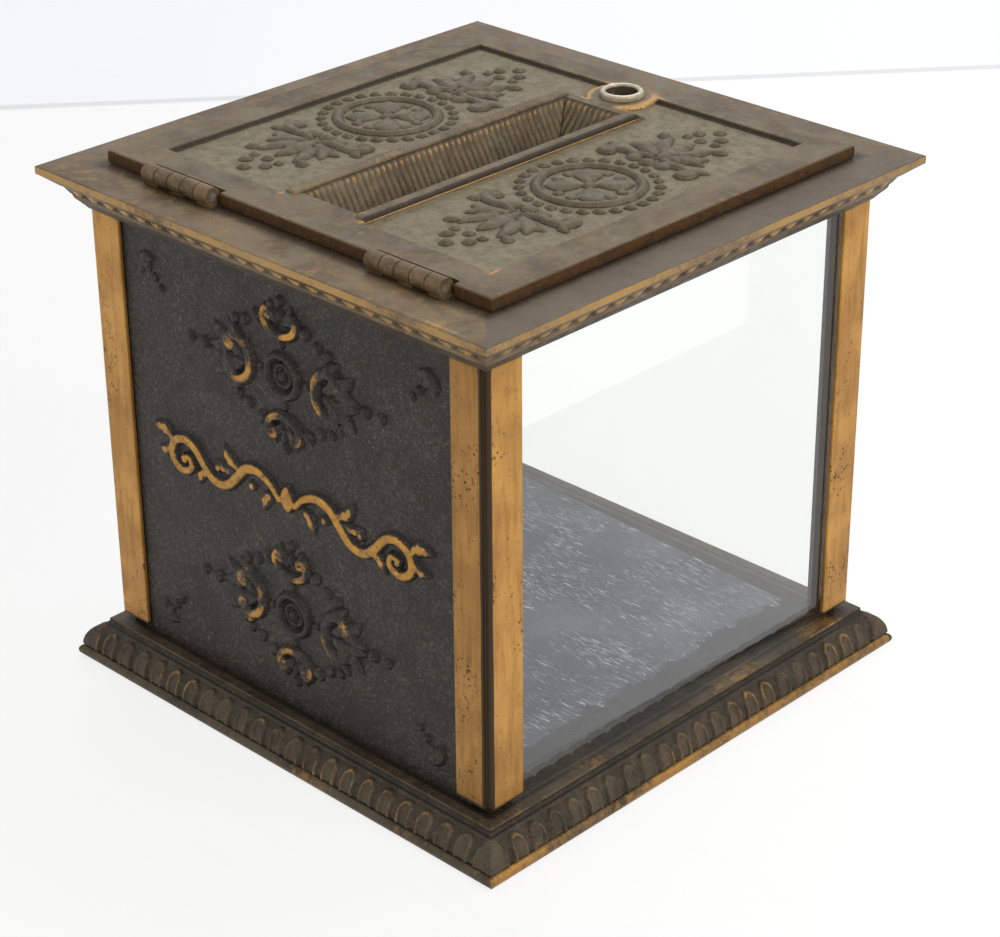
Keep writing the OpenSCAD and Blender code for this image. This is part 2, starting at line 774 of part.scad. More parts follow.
// Row of half-round ribs that run down a sloping wall, which starts at the origin and falls along -X
module rib_comb(run, fall, span) {
  tilt = atan2(fall, run);
  rib_total = floor(span / rib_pitch / 2);
  rotate([0, 90 - tilt, 0])
    rotate([0, 0, 180])
      translate([0, 0, -norm([run, fall])])
        linear_extrude(norm([run, fall]))
          for (i = [-rib_total:rib_total])
            translate([0, i * rib_pitch]) circle(r = rib_h);
}

// Ribs on all four walls of the trough, kept inside its hollow
module trough_ribs() {
  rib_drop = 0.6;
  intersection() {
    translate([0, 0, -rib_drop]) trough_hopper(trough_wall / 2, 0, 0);
    union() {
      for (s = [0, 180]) rotate([0, 0, s]) {
        translate([trough_w / 2, 0, 0]) rib_comb((trough_w - slot_w) / 2, trough_h, trough_l - 4);
        rotate([0, 0, 90])
          translate([trough_l / 2, 0, 0]) rib_comb((trough_l - slot_l) / 2, trough_h, trough_w - 4);
      }
    }
  }
}

// Sunk field on one side of the trough, widened behind the trough as far as the round border of the lock
module field_plan() {
  wide_y = trough_y + trough_l / 2 + 4;
  difference() {
    union() {
      translate([field_inner, field_front]) square([field_outer - field_inner, field_back - field_front]);
      translate([lock_boss_r * 0.6, wide_y]) square([field_inner, field_back - wide_y]);
    }
    translate([0, lock_y]) circle(r = lock_boss_r);
  }
}

// Spray of leaves and berries at one end of a medallion, growing along +Y from its middle
module lid_spray(height) {
  translate([0, 22.4, 0]) bead(4.8, height);
  translate([0, 26, 0]) rotate([0, 0, 90]) leaf(15, 5, height);
  for (s = [0, 1]) mirror([s, 0, 0]) {
    translate([5.2, 23.4, 0]) bead(4.6, height);
    translate([13.2, 22.2, 0]) bead(5, height);
    translate([3.6, 27.2, 0]) rotate([0, 0, -16]) leaf(11, 4.6, height);
    translate([13, 24, 0]) rotate([0, 0, 32]) leaf(6, 2.8, height * 0.9);
    translate([1.4, 28.4, 0]) rotate([0, 0, 38]) leaf(12, 4.8, height);
    translate([1, 33, 0]) rotate([0, 0, 60]) leaf(11, 4, height);
    translate([9.8, 41, 0]) bead(3.6, height);
    translate([3.9, 48.2, 0]) bead(3.2, height);
  }
  translate([0, 44, 0]) bead(3, height);
  translate([0, 52.6, 0]) bead(3.2, height);
}

// Medallion of a sunk field: ring, four-petalled rosette, circle of beads and two sprays
module lid_medallion() {
  height = field_depth * 0.85;
  half_round_arc(ring_r, ring_w, field_depth, 360);
  for (turn = [45:90:315]) rotate([0, 0, turn]) translate([1.6, 0, 0]) leaf(9.4, 6, height);
  for (turn = [0:90:270], side = [-1, 1])
    rotate([0, 0, turn + 14 * side]) translate([9.2, 0, 0]) bead(2.6, height);
  bead(3.4, field_depth);
  for (i = [0:bead_count - 1])
    rotate([0, 0, 360 * i / bead_count]) translate([bead_circle_r, 0, 0]) bead(bead_d, height);
  for (turn = [0, 180]) rotate([0, 0, turn]) lid_spray(height);
}

// Half-round bar along one side of the trough
module trough_bar() {
  bar_x = trough_w / 2 + bar_w / 2 + 0.1;
  bar_l = trough_l + 5;
  translate([bar_x, trough_y + bar_l / 2, 0])
    rotate([90, 0, 0]) linear_extrude(bar_l) crown_section(bar_w, bar_h);
}

module lid_plate() {
  difference() {
    union() {
      difference() {
        translate([-lid_half_x, -lid_half_y, lid_z]) cube([2 * lid_half_x, 2 * lid_half_y, lid_t]);
        for (s = [0, 1])
          mirror([s, 0, 0]) translate([0, 0, field_z]) linear_extrude(field_depth + past) field_plan();
      }
      translate([0, trough_y, lid_top]) trough_hopper(trough_wall, -field_depth, 0);
      translate([0, lock_y, lid_z]) cylinder(r = lock_boss_r, h = lid_t);
    }
    translate([0, trough_y, lid_top]) trough_hopper(0, past, past);
    translate([0, lock_y, lid_z - past]) cylinder(r = housing_r + thread_gap, h = lid_t + 2 * past);
    for (s = [-1, 1]) translate([s * hinge_x + hinge_shift, 0, 0]) {
      translate([-hinge_w / 2 - 1.1, -lid_half_y - past, lid_z - past])
        cube([hinge_w + 2.2, lid_notch_y + lid_half_y + past, lid_t + 2 * past]);
      translate([-hinge_w / 2 - thread_gap, -lid_half_y, lid_z - past])
        cube([hinge_w + 2 * thread_gap, leaf_end_y + thread_gap + lid_half_y, leaf_t + past]);
      for (t = [-1, 1])
        translate([t * hinge_w / 6, leaf_screw_y, lid_z])
          cylinder(r = screw_r + thread_gap, h = screw_l + thread_gap);
    }
  }
}

module lid() {
  color(patina) {
    lid_plate();
    translate([0, trough_y, lid_top]) trough_ribs();
    for (s = [0, 1]) mirror([s, 0, 0]) {
      translate([field_mid_x, (field_front + field_back) / 2, field_z]) lid_medallion();
      translate([0, 0, lid_top]) trough_bar();
    }
  }
}

module lock_housing() {
  tail_r = lock_bore_r - 1.8;
  color(nickel)
    translate([0, lock_y, 0])
      rotate_extrude()
        polygon([[tail_r, housing_z], [housing_r, housing_z], [housing_r, lid_top], [lock_ring_r, lid_top],
            [lock_ring_r, lid_top + lock_ring_h * 0.6], [lock_ring_r - 0.5, lid_top + lock_ring_h],
            [lock_bore_r + 0.3, lid_top + lock_ring_h], [lock_bore_r, lid_top + lock_ring_h * 0.7],
            [lock_bore_r, plug_z], [tail_r, plug_z]]);
}

module lock_nut() {
  color(steel)
    translate([0, lock_y, lid_z - lock_nut_h])
      difference() {
        cylinder(r = lock_nut_r, h = lock_nut_h, $fn = 6);
        translate([0, 0, -past]) cylinder(r = housing_r + thread_gap, h = lock_nut_h + 2 * past);
      }
}

// Turning plug with a keyway in its face and a stub below for the cam
module lock_plug() {
  plug_r = lock_bore_r - plug_clearance;
  tail_r = lock_bore_r - 1.8 - plug_clearance;
  key_depth = plug_top - plug_z - housing_floor;
  color(nickel)
    translate([0, lock_y, 0])
      difference() {
        union() {
          translate([0, 0, plug_z + thread_gap]) cylinder(r = plug_r, h = plug_top - plug_z - thread_gap);
          translate([0, 0, cam_top]) cylinder(r = tail_r, h = plug_z + past - cam_top);
          translate([0, 0, cam_top - cam_t]) cylinder(r = tail_r * 0.7, h = cam_t + past);
        }
        translate([0, 0, plug_top - key_depth]) cylinder(r = 1.3, h = key_depth + past);
        translate([-0.5, 0, plug_top - key_depth]) cube([1, 2.8, key_depth + past]);
        translate([0, 0, cam_top - cam_t - past]) cylinder(r = screw_r, h = cam_t + 2 * past);
      }
}

module lock_cam() {
  stub_r = (lock_bore_r - 1.8 - plug_clearance) * 0.7;
  color(steel)
    translate([0, lock_y, cam_top - cam_t])
      difference() {
        linear_extrude(cam_t) {
          circle(d = cam_w);
          translate([0, -cam_w / 2]) square([cam_l - cam_w / 2, cam_w]);
          translate([cam_l - cam_w / 2, 0]) circle(d = cam_w);
        }
        translate([0, 0, -past]) cylinder(r = stub_r, h = cam_t + 2 * past);
      }
}

module cam_screw() {
  head_z = cam_top - cam_t - screw_head_h;
  color(steel)
    translate([0, lock_y, head_z]) {
      difference() {
        cylinder(r = screw_head_r + 1, h = screw_head_h);
        translate([-0.3, -4, -past]) cube([0.6, 8, past + screw_head_h / 2]);
      }
      cylinder(r = screw_r, h = screw_head_h + cam_t + past / 2);
    }
}

base_frame();
floor_plate();
post_front_right();
post_back_right();
post_back_left();
post_front_left();
front_panel();
glass_right();
glass_back();
glass_left();
top_frame();
tie_rods();
tie_rod_nuts();
hinge_frame_leaf_left();
hinge_frame_leaf_right();
hinge_pin_left();
hinge_pin_right();
hinge_frame_screws();
lock_keeper();
keeper_screws();
lid();
hinge_lid_leaf_left();
hinge_lid_leaf_right();
hinge_lid_screws();
lock_housing();
lock_nut();
lock_plug();
lock_cam();
cam_screw();
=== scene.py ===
import math

import bpy
import numpy as np
from mathutils import Matrix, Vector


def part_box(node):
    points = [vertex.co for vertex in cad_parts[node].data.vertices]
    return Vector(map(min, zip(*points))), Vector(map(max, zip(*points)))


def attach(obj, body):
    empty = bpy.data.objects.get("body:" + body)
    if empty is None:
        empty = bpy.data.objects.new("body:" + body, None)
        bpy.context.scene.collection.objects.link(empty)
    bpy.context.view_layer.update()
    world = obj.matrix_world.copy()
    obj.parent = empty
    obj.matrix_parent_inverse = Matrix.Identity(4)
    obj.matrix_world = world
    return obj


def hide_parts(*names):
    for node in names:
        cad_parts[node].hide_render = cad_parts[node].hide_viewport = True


bl_info = {
    "name": "Glazed Receipt Box",
    "version": (1, 0, 0),
    "blender": (4, 5, 0),
    "location": "3D View > Sidebar > Receipt Box",
    "description": "Dresses a cast-metal and glass counter box for receipts around its packed frame",
    "category": "Object",
}

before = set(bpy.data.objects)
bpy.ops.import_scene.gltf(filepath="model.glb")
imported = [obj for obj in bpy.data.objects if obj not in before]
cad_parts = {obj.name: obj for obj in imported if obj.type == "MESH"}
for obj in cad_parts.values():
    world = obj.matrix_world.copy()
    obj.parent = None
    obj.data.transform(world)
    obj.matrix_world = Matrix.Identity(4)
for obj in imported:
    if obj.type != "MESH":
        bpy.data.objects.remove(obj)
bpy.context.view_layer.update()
MM = 0.001


# ---------------------------------------------------------------- sizes, in millimetres

def corners(node):
    """Lowest and highest corner of a node of the frame, in millimetres."""
    return [np.array(corner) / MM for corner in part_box(node)]


BASE_HALF = corners("base_frame")[1][0]
BASE_H = corners("base_frame")[1][2]
BODY_HALF = corners("post_front_right")[1][0]
POST_TOP = corners("top_frame")[0][2]
TOP_Z = corners("top_frame")[1][2]
EDGE_HALF = corners("top_frame")[1][0]
LID_X = corners("lid")[1][0]
LID_Y = corners("lid")[1][1]
LID_Z = TOP_Z + 0.3
LID_TOP = LID_Z + 3.4
FIELD_Z = LID_TOP - 1.3
FIELD_IN = 15.4
FIELD_OUT = LID_X - 11.5
FIELD_FRONT = -LID_Y + 11.8
FIELD_BACK = LID_Y - 8.6
FIELD_MID = ((FIELD_IN + FIELD_OUT) / 2, (FIELD_FRONT + FIELD_BACK) / 2)
LOCK_Y = LID_Y - 13.1
LOCK_CLEAR = 10.25
TROUGH_Y = -5.0
TROUGH_RIM = (10.8, 49.75)
TROUGH_SLOT = (3.0, 38.0)
TROUGH_H = 13.5
RIB_PITCH = 2.15
HINGE_X = 42.5
HINGE_SHIFT = 2.4
PANEL_Y = -BODY_HALF + 1.45
PANEL_HALF = 63.5
WIDE_Y = TROUGH_Y + TROUGH_RIM[1] + 4
HOLE = (LID_X - 9.7, -LID_Y + 12.5, LID_Y - 4.4)
LEAF_HALF = 13.05
LEAF_BACK = -59.65
LEAF_DEPTH = 1.06
BARREL_HALF = 14.1
BARREL_BACK = -67.1
PLATE_HALF = 69.4
BOSS_IN = 64.5
DENTIL_PITCH = 6.65
DENTIL_LEAN = 2.2
FOUR_WAYS = ((1, 1), (-1, 1), (1, -1), (-1, -1))


# ---------------------------------------------------------------- meshes from arrays

def build(name, points, faces, body, slot, stands_for=(), marks=None, sharp=38):
    """Makes a smooth-shaded mesh from points in millimetres and arrays of corner numbers.
    marks are per-point values, such as wear, that the finishes read."""
    used = np.unique(np.concatenate([f.ravel() for f in faces]))
    renumber = np.full(len(points), -1)
    renumber[used] = np.arange(len(used))
    faces = [renumber[f] for f in faces if len(f)]
    mesh = bpy.data.meshes.new(name)
    mesh.vertices.add(len(used))
    mesh.vertices.foreach_set("co", (points[used] * MM).astype(np.float32).ravel())
    loops = np.concatenate([f.ravel() for f in faces]).astype(np.int32)
    widths = np.concatenate([np.full(len(f), f.shape[1]) for f in faces])
    mesh.loops.add(len(loops))
    mesh.loops.foreach_set("vertex_index", loops)
    mesh.polygons.add(len(widths))
    mesh.polygons.foreach_set("loop_start", (np.cumsum(widths) - widths).astype(np.int32))
    mesh.update(calc_edges=True)
    mesh.polygons.foreach_set("use_smooth", np.ones(len(widths), bool))
    mesh.set_sharp_from_angle(angle=math.radians(sharp))
    for mark, values in (marks or {}).items():
        layer = mesh.attributes.new(mark, "FLOAT", "POINT")
        layer.data.foreach_set("value", np.asarray(values, np.float32).ravel()[used])
    mesh.materials.append(finish_of(slot))
    piece = bpy.data.objects.new(name, mesh)
    bpy.context.scene.collection.objects.link(piece)
    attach(piece, body)
    if stands_for:
        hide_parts(*stands_for)
    return piece


def grid_faces(rows, cols, loop_rows=False, loop_cols=False, start=0):
    """Four-cornered faces of a grid of points that is numbered row by row."""
    i = np.arange(rows if loop_rows else rows - 1)[:, None]
    j = np.arange(cols if loop_cols else cols - 1)[None, :]
    a, b = i * cols, (i + 1) % rows * cols
    return start + np.stack([a + j, b + j, b + (j + 1) % cols, a + (j + 1) % cols], -1).reshape(-1, 4)


def lines(low, high, step, *fine):
    """Grid positions from low to high a step apart, closer together over each (centre, reach, step) in fine."""
    spots = [np.linspace(low, high, max(2, int(round((high - low) / step)) + 1))]
    for centre, reach, close in fine:
        spots.append(np.arange(-reach, reach + close / 2, close) + centre)
    spots = np.unique(np.round(np.clip(np.concatenate(spots), low, high), 4))
    keep = np.concatenate([[True], np.diff(spots) > 0.012])
    keep[-1] = True
    return spots[keep]


def cuts(*places, gap=0.02):
    """For lines: a grid position on each place and one close by on either side, where a form ends in a step."""
    return [(place, gap, gap) for place in places]


def slab(xs, ys, top, bottom, keep=None):
    """Closed body between two height maps over the grid xs by ys, made of all cells or only of those in keep.
    Every cell gets a face above and a face below, and each edge between a kept and an empty cell gets a wall."""
    nx, ny = len(xs), len(ys)
    keep = np.ones((nx - 1, ny - 1), bool) if keep is None else keep
    flat = np.stack(np.broadcast_arrays(xs[:, None], ys[None, :]), -1).reshape(-1, 2)
    points = np.concatenate([np.column_stack([flat, np.broadcast_to(h, (nx, ny)).ravel()]) for h in (top, bottom)])
    i, j = np.nonzero(keep)
    a = i * ny + j
    under = nx * ny
    upper = np.stack([a, a + ny, a + ny + 1, a + 1], -1)
    lower = upper[:, ::-1] + under
    padded = np.pad(keep, 1)
    faces = [upper, lower]
    for (di, dj), (p, q) in {(0, -1): (0, 1), (1, 0): (1, 2), (0, 1): (2, 3), (-1, 0): (3, 0)}.items():
        open_side = ~padded[i + 1 + di, j + 1 + dj]
        start, end = upper[open_side, p], upper[open_side, q]
        faces.append(np.stack([start, start + under, end + under, end], -1))
    return points, faces


def two_sides(above, below=0.0):
    """A mark for a slab: its values over the upper points, and one value for all lower points."""
    return np.concatenate([above.ravel(), np.full(above.size, below)])


def hinge_sides(*reaches):
    """Places along X that lie at the given reaches to both sides of each hinge's middle."""
    return [s * HINGE_X + HINGE_SHIFT + t * reach for s in (-1, 1) for t in (-1, 1) for reach in reaches]


def at_hinge(x, y, reach, back):
    """Where places in the plan lie within reach of a hinge's middle and behind the line y = back."""
    return (np.abs(np.abs(x - HINGE_SHIFT) - HINGE_X) < reach) & (y < back)


def square_ring(outline, middles, fixed, ends, relief, reference):
    """Closed outline (half width, height) carried round a square, mitred at its corners.
    Along a side the middles are places in millimetres. Past them a point runs on to the mitre by the shares in ends.
    relief gives how far each point moves along the outline's outward normal, and its marks."""
    half, height = outline[:, 0], outline[:, 1]
    step = np.roll(outline, -1, 0) - np.roll(outline, 1, 0)
    normal = np.column_stack([step[:, 1], -step[:, 0]]) / np.maximum(np.linalg.norm(step, axis=1), 1e-9)[:, None]
    shares = np.concatenate([-ends[::-1], np.zeros(len(middles)), ends[:-1]])
    places = np.concatenate([np.full(len(ends), -fixed), middles, np.full(len(ends) - 1, fixed)])
    points, marks = [], []
    for side in range(4):
        spread = np.minimum(1, half / reference)
        along = places[:, None] * spread
        along = along + np.sign(shares)[:, None] * np.abs(shares)[:, None] * (half - fixed * spread)
        push, mark = relief(side, along, half[None, :], height[None, :])
        reach = half + push * normal[:, 0]
        level = height + push * normal[:, 1]
        along = along + shares[:, None] * (reach - half)
        turn = math.pi / 2 * side
        x, y = along, -reach
        points.append(np.stack([x * math.cos(turn) - y * math.sin(turn),
                                x * math.sin(turn) + y * math.cos(turn), level], -1).reshape(-1, 3))
        marks.append(mark)
    stations = 4 * len(places)
    marks = {k: np.concatenate([np.broadcast_to(m[k], (len(places), len(half))).ravel() for m in marks])
             for k in marks[0]}
    return np.concatenate(points), [grid_faces(stations, len(half), True, True)], marks


def resample(outline, step):
    """The outline with extra points, so that no stretch is longer than the step."""
    out = []
    for a, b in zip(outline, np.roll(outline, -1, 0)):
        count = max(1, int(np.ceil(np.linalg.norm(b - a) / step)))
        out.append(a + (b - a) * np.linspace(0, 1, count, endpoint=False)[:, None])
    return np.concatenate(out)


def rounded(points, radii, count=4):
    """The outline with each corner turned into a curve: point a quarter, half and so on between the tangent points,
    drawn as a quadratic blend of the first tangent point, the corner and the second tangent point."""
    points = np.asarray(points, float)
    before, after = np.roll(points, 1, 0) - points, np.roll(points, -1, 0) - points
    reach = np.minimum(np.asarray(radii, float),
                       0.45 * np.minimum(np.linalg.norm(before, axis=1), np.linalg.norm(after, axis=1)))[:, None]
    first = points + before / np.linalg.norm(before, axis=1)[:, None] * reach
    last = points + after / np.linalg.norm(after, axis=1)[:, None] * reach
    t = np.linspace(0, 1, count)[None, :, None]
    curve = first[:, None] * (1 - t) ** 2 + points[:, None] * 2 * t * (1 - t) + last[:, None] * t ** 2
    return curve.reshape(-1, 2)


def turned(outline, centre, count=96):
    """Closed outline (radius, height) turned round an upright axis."""
    angle = np.linspace(0, 2 * math.pi, count, endpoint=False)[:, None]
    radius, height = outline[None, :, 0], outline[None, :, 1]
    points = np.stack([centre[0] + radius * np.cos(angle), centre[1] + radius * np.sin(angle),
                       height + 0 * angle], -1)
    return points.reshape(-1, 3), [grid_faces(count, len(outline), True, True)]


def step_up(value, low, high):
    """0 below low, 1 above high, and a smooth curve between."""
    t = np.clip((value - low) / (high - low), 0, 1)
    return t * t * (3 - 2 * t)


def wander(*axes, seed=1, scale=1.0):
    """Smooth seeded unevenness between about -1 and 1: a sum of nine sine waves in random directions."""
    rng = np.random.default_rng(seed)
    total = 0
    for k in range(9):
        way = rng.normal(size=len(axes))
        way /= np.linalg.norm(way)
        phase = rng.uniform(0, 2 * math.pi)
        total = total + np.sin(sum(w * a for w, a in zip(way, axes)) * scale * rng.uniform(0.5, 2) + phase)
    return total / 4.5


def softened(field, times=1):
    """The height map with each point moved towards the mean of its neighbours."""
    for _ in range(times):
        for axis in (0, 1):
            edge = np.pad(field, [(1, 1) if a == axis else (0, 0) for a in (0, 1)], mode="edge")
            lower = np.take(edge, range(0, field.shape[axis]), axis)
            upper = np.take(edge, range(2, field.shape[axis] + 2), axis)
            field = field * 0.5 + (lower + upper) * 0.25
    return field


class Relief:
    """Height map over a plane, in millimetres, that cast ornament is added to with the highest form on top."""

    def __init__(self, low, high, step):
        self.u = np.arange(low[0], high[0] + step, step)
        self.v = np.arange(low[1], high[1] + step, step)
        self.h = np.zeros((len(self.u), len(self.v)))
        self.copies = [(np.eye(2), np.zeros(2))]

    def place(self, centre, *flips):
        """Everything added from now on is drawn at the centre once for each flip (across, along)."""
        self.copies = [(np.diag(f).astype(float), np.asarray(centre, float)) for f in (flips or ((1, 1),))]
        return self

    def cover(self, low, high, shape):
        """Adds shape(u, v), worked out only inside the box from low to high."""
        i = slice(*np.searchsorted(self.u, (low[0], high[0])))
        j = slice(*np.searchsorted(self.v, (low[1], high[1])))
        if i.start < i.stop and j.start < j.stop:
            self.h[i, j] = np.maximum(self.h[i, j], shape(self.u[i, None], self.v[None, j]))

    def stroke(self, path, width, height, groove=0.0):
        """Rounded bar along a path: its section at half width w is height times the root of 1 - (distance / w) squared,
        less a fine groove along its middle. Width and height may change along the path."""
        path = np.asarray(path, float)
        width = np.broadcast_to(np.asarray(width, float) / 2, len(path))
        height = np.broadcast_to(np.asarray(height, float), len(path))
        for flip, centre in self.copies:
            p = path @ flip + centre
            for a, b, wa, wb, ha, hb in zip(p[:-1], p[1:], width[:-1], width[1:], height[:-1], height[1:]):
                way, wide = b - a, max(wa, wb)
                length = max(way @ way, 1e-9)

                def bar(u, v):
                    t = np.clip(((u - a[0]) * way[0] + (v - a[1]) * way[1]) / length, 0, 1)
                    far = np.hypot(u - a[0] - t * way[0], v - a[1] - t * way[1])
                    share = far / np.maximum(wa + (wb - wa) * t, 1e-3)
                    crest = np.sqrt(np.clip(1 - share ** 2, 0, 1)) - groove * np.exp(-(share / 0.22) ** 2)
                    return (ha + (hb - ha) * t) * crest

                self.cover(np.minimum(a, b) - wide, np.maximum(a, b) + wide, bar)
        return self

    def bead(self, at, size, height, turn=0.0, cup=0.0):
        """Oval bead: height times the root of 1 - d squared, with an optional dimple in its middle."""
        size = (size, size) if np.isscalar(size) else size
        for flip, centre in self.copies:
            c = np.asarray(at, float) @ flip + centre
            angle = math.radians(turn) * flip[0, 0] * flip[1, 1]
            cos, sin = math.cos(angle), math.sin(angle)

            def oval(u, v):
                s = ((u - c[0]) * cos + (v - c[1]) * sin) / (size[0] / 2)
                t = (-(u - c[0]) * sin + (v - c[1]) * cos) / (size[1] / 2)
                d = s * s + t * t
                return height * (np.sqrt(np.clip(1 - d, 0, 1)) - cup * np.exp(-d / 0.12))

            reach = max(size) / 2
            self.cover(c - reach, c + reach, oval)
        return self

    def leaf(self, root, tip, width, height, bend=0.0, veins=0, belly=0.45):
        """Pointed leaf: its half width grows and shrinks from root to tip as a skewed sine, its section is rounded with
        a fold along the middle, side veins are waves that lean towards the tip, and the midline may bend sideways."""
        root, tip = np.asarray(root, float), np.asarray(tip, float)
        for flip, centre in self.copies:
            a, b = root @ flip + centre, tip @ flip + centre
            way = b - a
            length = np.hypot(*way)
            way = way / length
            across = np.array([-way[1], way[0]])
            curve = bend * flip[0, 0] * flip[1, 1]

            def blade(u, v):
                s = ((u - a[0]) * way[0] + (v - a[1]) * way[1]) / length
                inside = (s > 0) & (s < 1)
                s = np.clip(s, 0, 1)
                t = (u - a[0]) * across[0] + (v - a[1]) * across[1] - curve * np.sin(math.pi * s) * length
                skew = s ** (math.log(0.5) / math.log(belly))
                half = width / 2 * np.sin(math.pi * skew) ** 0.8 + 1e-6
                share = np.abs(t) / half
                form = np.sqrt(np.clip(1 - share ** 2, 0, 1)) * (0.62 + 0.38 * np.sin(math.pi * s) ** 0.5)
                form = form - 0.22 * np.exp(-(t / 0.3) ** 2) * inside
                if veins:
                    wave = 1 + np.cos(2 * math.pi * (s * veins - share * 0.5))
                    form = form * (1 - 0.16 * wave * np.clip(share * 1.6, 0, 1))
                return height * form * inside

            reach = width / 2 + abs(bend) * length + 0.3
            self.cover(np.minimum(a, b) - reach, np.maximum(a, b) + reach, blade)
        return self

    def read(self, u, v):
        """Height at other places, by straight lines between the four nearest points."""
        fu = np.clip((u - self.u[0]) / (self.u[1] - self.u[0]), 0, len(self.u) - 1.001)
        fv = np.clip((v - self.v[0]) / (self.v[1] - self.v[0]), 0, len(self.v) - 1.001)
        i, j = fu.astype(int), fv.astype(int)
        s, t = fu - i, fv - j
        return ((self.h[i, j] * (1 - s) + self.h[i + 1, j] * s) * (1 - t)
                + (self.h[i, j + 1] * (1 - s) + self.h[i + 1, j + 1] * s) * t)

    def blurred(self, times):
        """A softer copy of the height map."""
        soft = Relief.__new__(Relief)
        soft.u, soft.v, soft.h = self.u, self.v, softened(self.h, times)
        return soft


def arc(centre, r0, r1, a0, a1, count=14):
    """Points of a spiral arc: the radius and the angle in degrees both change evenly along it."""
    angle = np.radians(np.linspace(a0, a1, count))
    radius = np.linspace(r0, r1, count)
    return np.column_stack([centre[0] + radius * np.cos(angle), centre[1] + radius * np.sin(angle)])


def bent(*controls, count=14):
    """Points of a smooth curve through the controls: a Catmull-Rom blend of each four neighbours."""
    p = np.asarray(controls, float)
    p = np.vstack([2 * p[0] - p[1], p, 2 * p[-1] - p[-2]])
    out = []
    for k in range(1, len(p) - 2):
        t = np.linspace(0, 1, count, endpoint=k == len(p) - 3)[:, None]
        a, b, c, d = p[k - 1:k + 3]
        out.append(0.5 * (2 * b + (c - a) * t + (2 * a - 5 * b + 4 * c - d) * t ** 2
                          + (3 * b - a - 3 * c + d) * t ** 3))
    return np.concatenate(out)


def patch(relief, across, origin, low=0.06, sink=0.5):
    """Closed body of a relief: cells higher than low, standing on a flat underside that lies sink below the ground.
    across maps (u, v, height) to the frame. Wear marks the crests, and a dark mark the flanks and hollows, as dirt and
    painted shade."""
    h = relief.h
    cells = np.maximum(np.maximum(h[:-1, :-1], h[1:, :-1]), np.maximum(h[:-1, 1:], h[1:, 1:])) > low
    points, faces = slab(relief.u, relief.v, np.where(h > low, h, -0.02), np.full(h.shape, -sink), cells)
    around = relief.blurred(14).h
    near = relief.blurred(3).h
    peak = max(h.max(), 1e-6)
    wear = np.clip((h - around) / peak * 1.9, 0, 1) * step_up(h / peak, 0.25, 0.8)
    grime = np.clip((near - h) / peak * 4.5, 0, 1) + 1 - step_up(h / peak, 0.05, 0.4)
    return across(points, origin), faces, {"wear": two_sides(wear), "grime": np.clip(two_sides(grime, 1), 0, 1)}


def on_top(points, origin):
    """Relief that lies flat, facing up."""
    return points + np.asarray(origin)


def on_front(points, origin):
    """Relief on the upright face that looks along -Y."""
    return np.stack([points[:, 0], -points[:, 2], points[:, 1]], -1) + np.asarray(origin)


# ---------------------------------------------------------------- finishes

def srgb(red, green, blue):
    """A colour as it is seen, 0 to 255, as the linear values that the shaders take."""
    c = np.array([red, green, blue]) / 255
    return tuple(np.where(c <= 0.04045, c / 12.92, ((c + 0.055) / 1.055) ** 2.4).tolist())


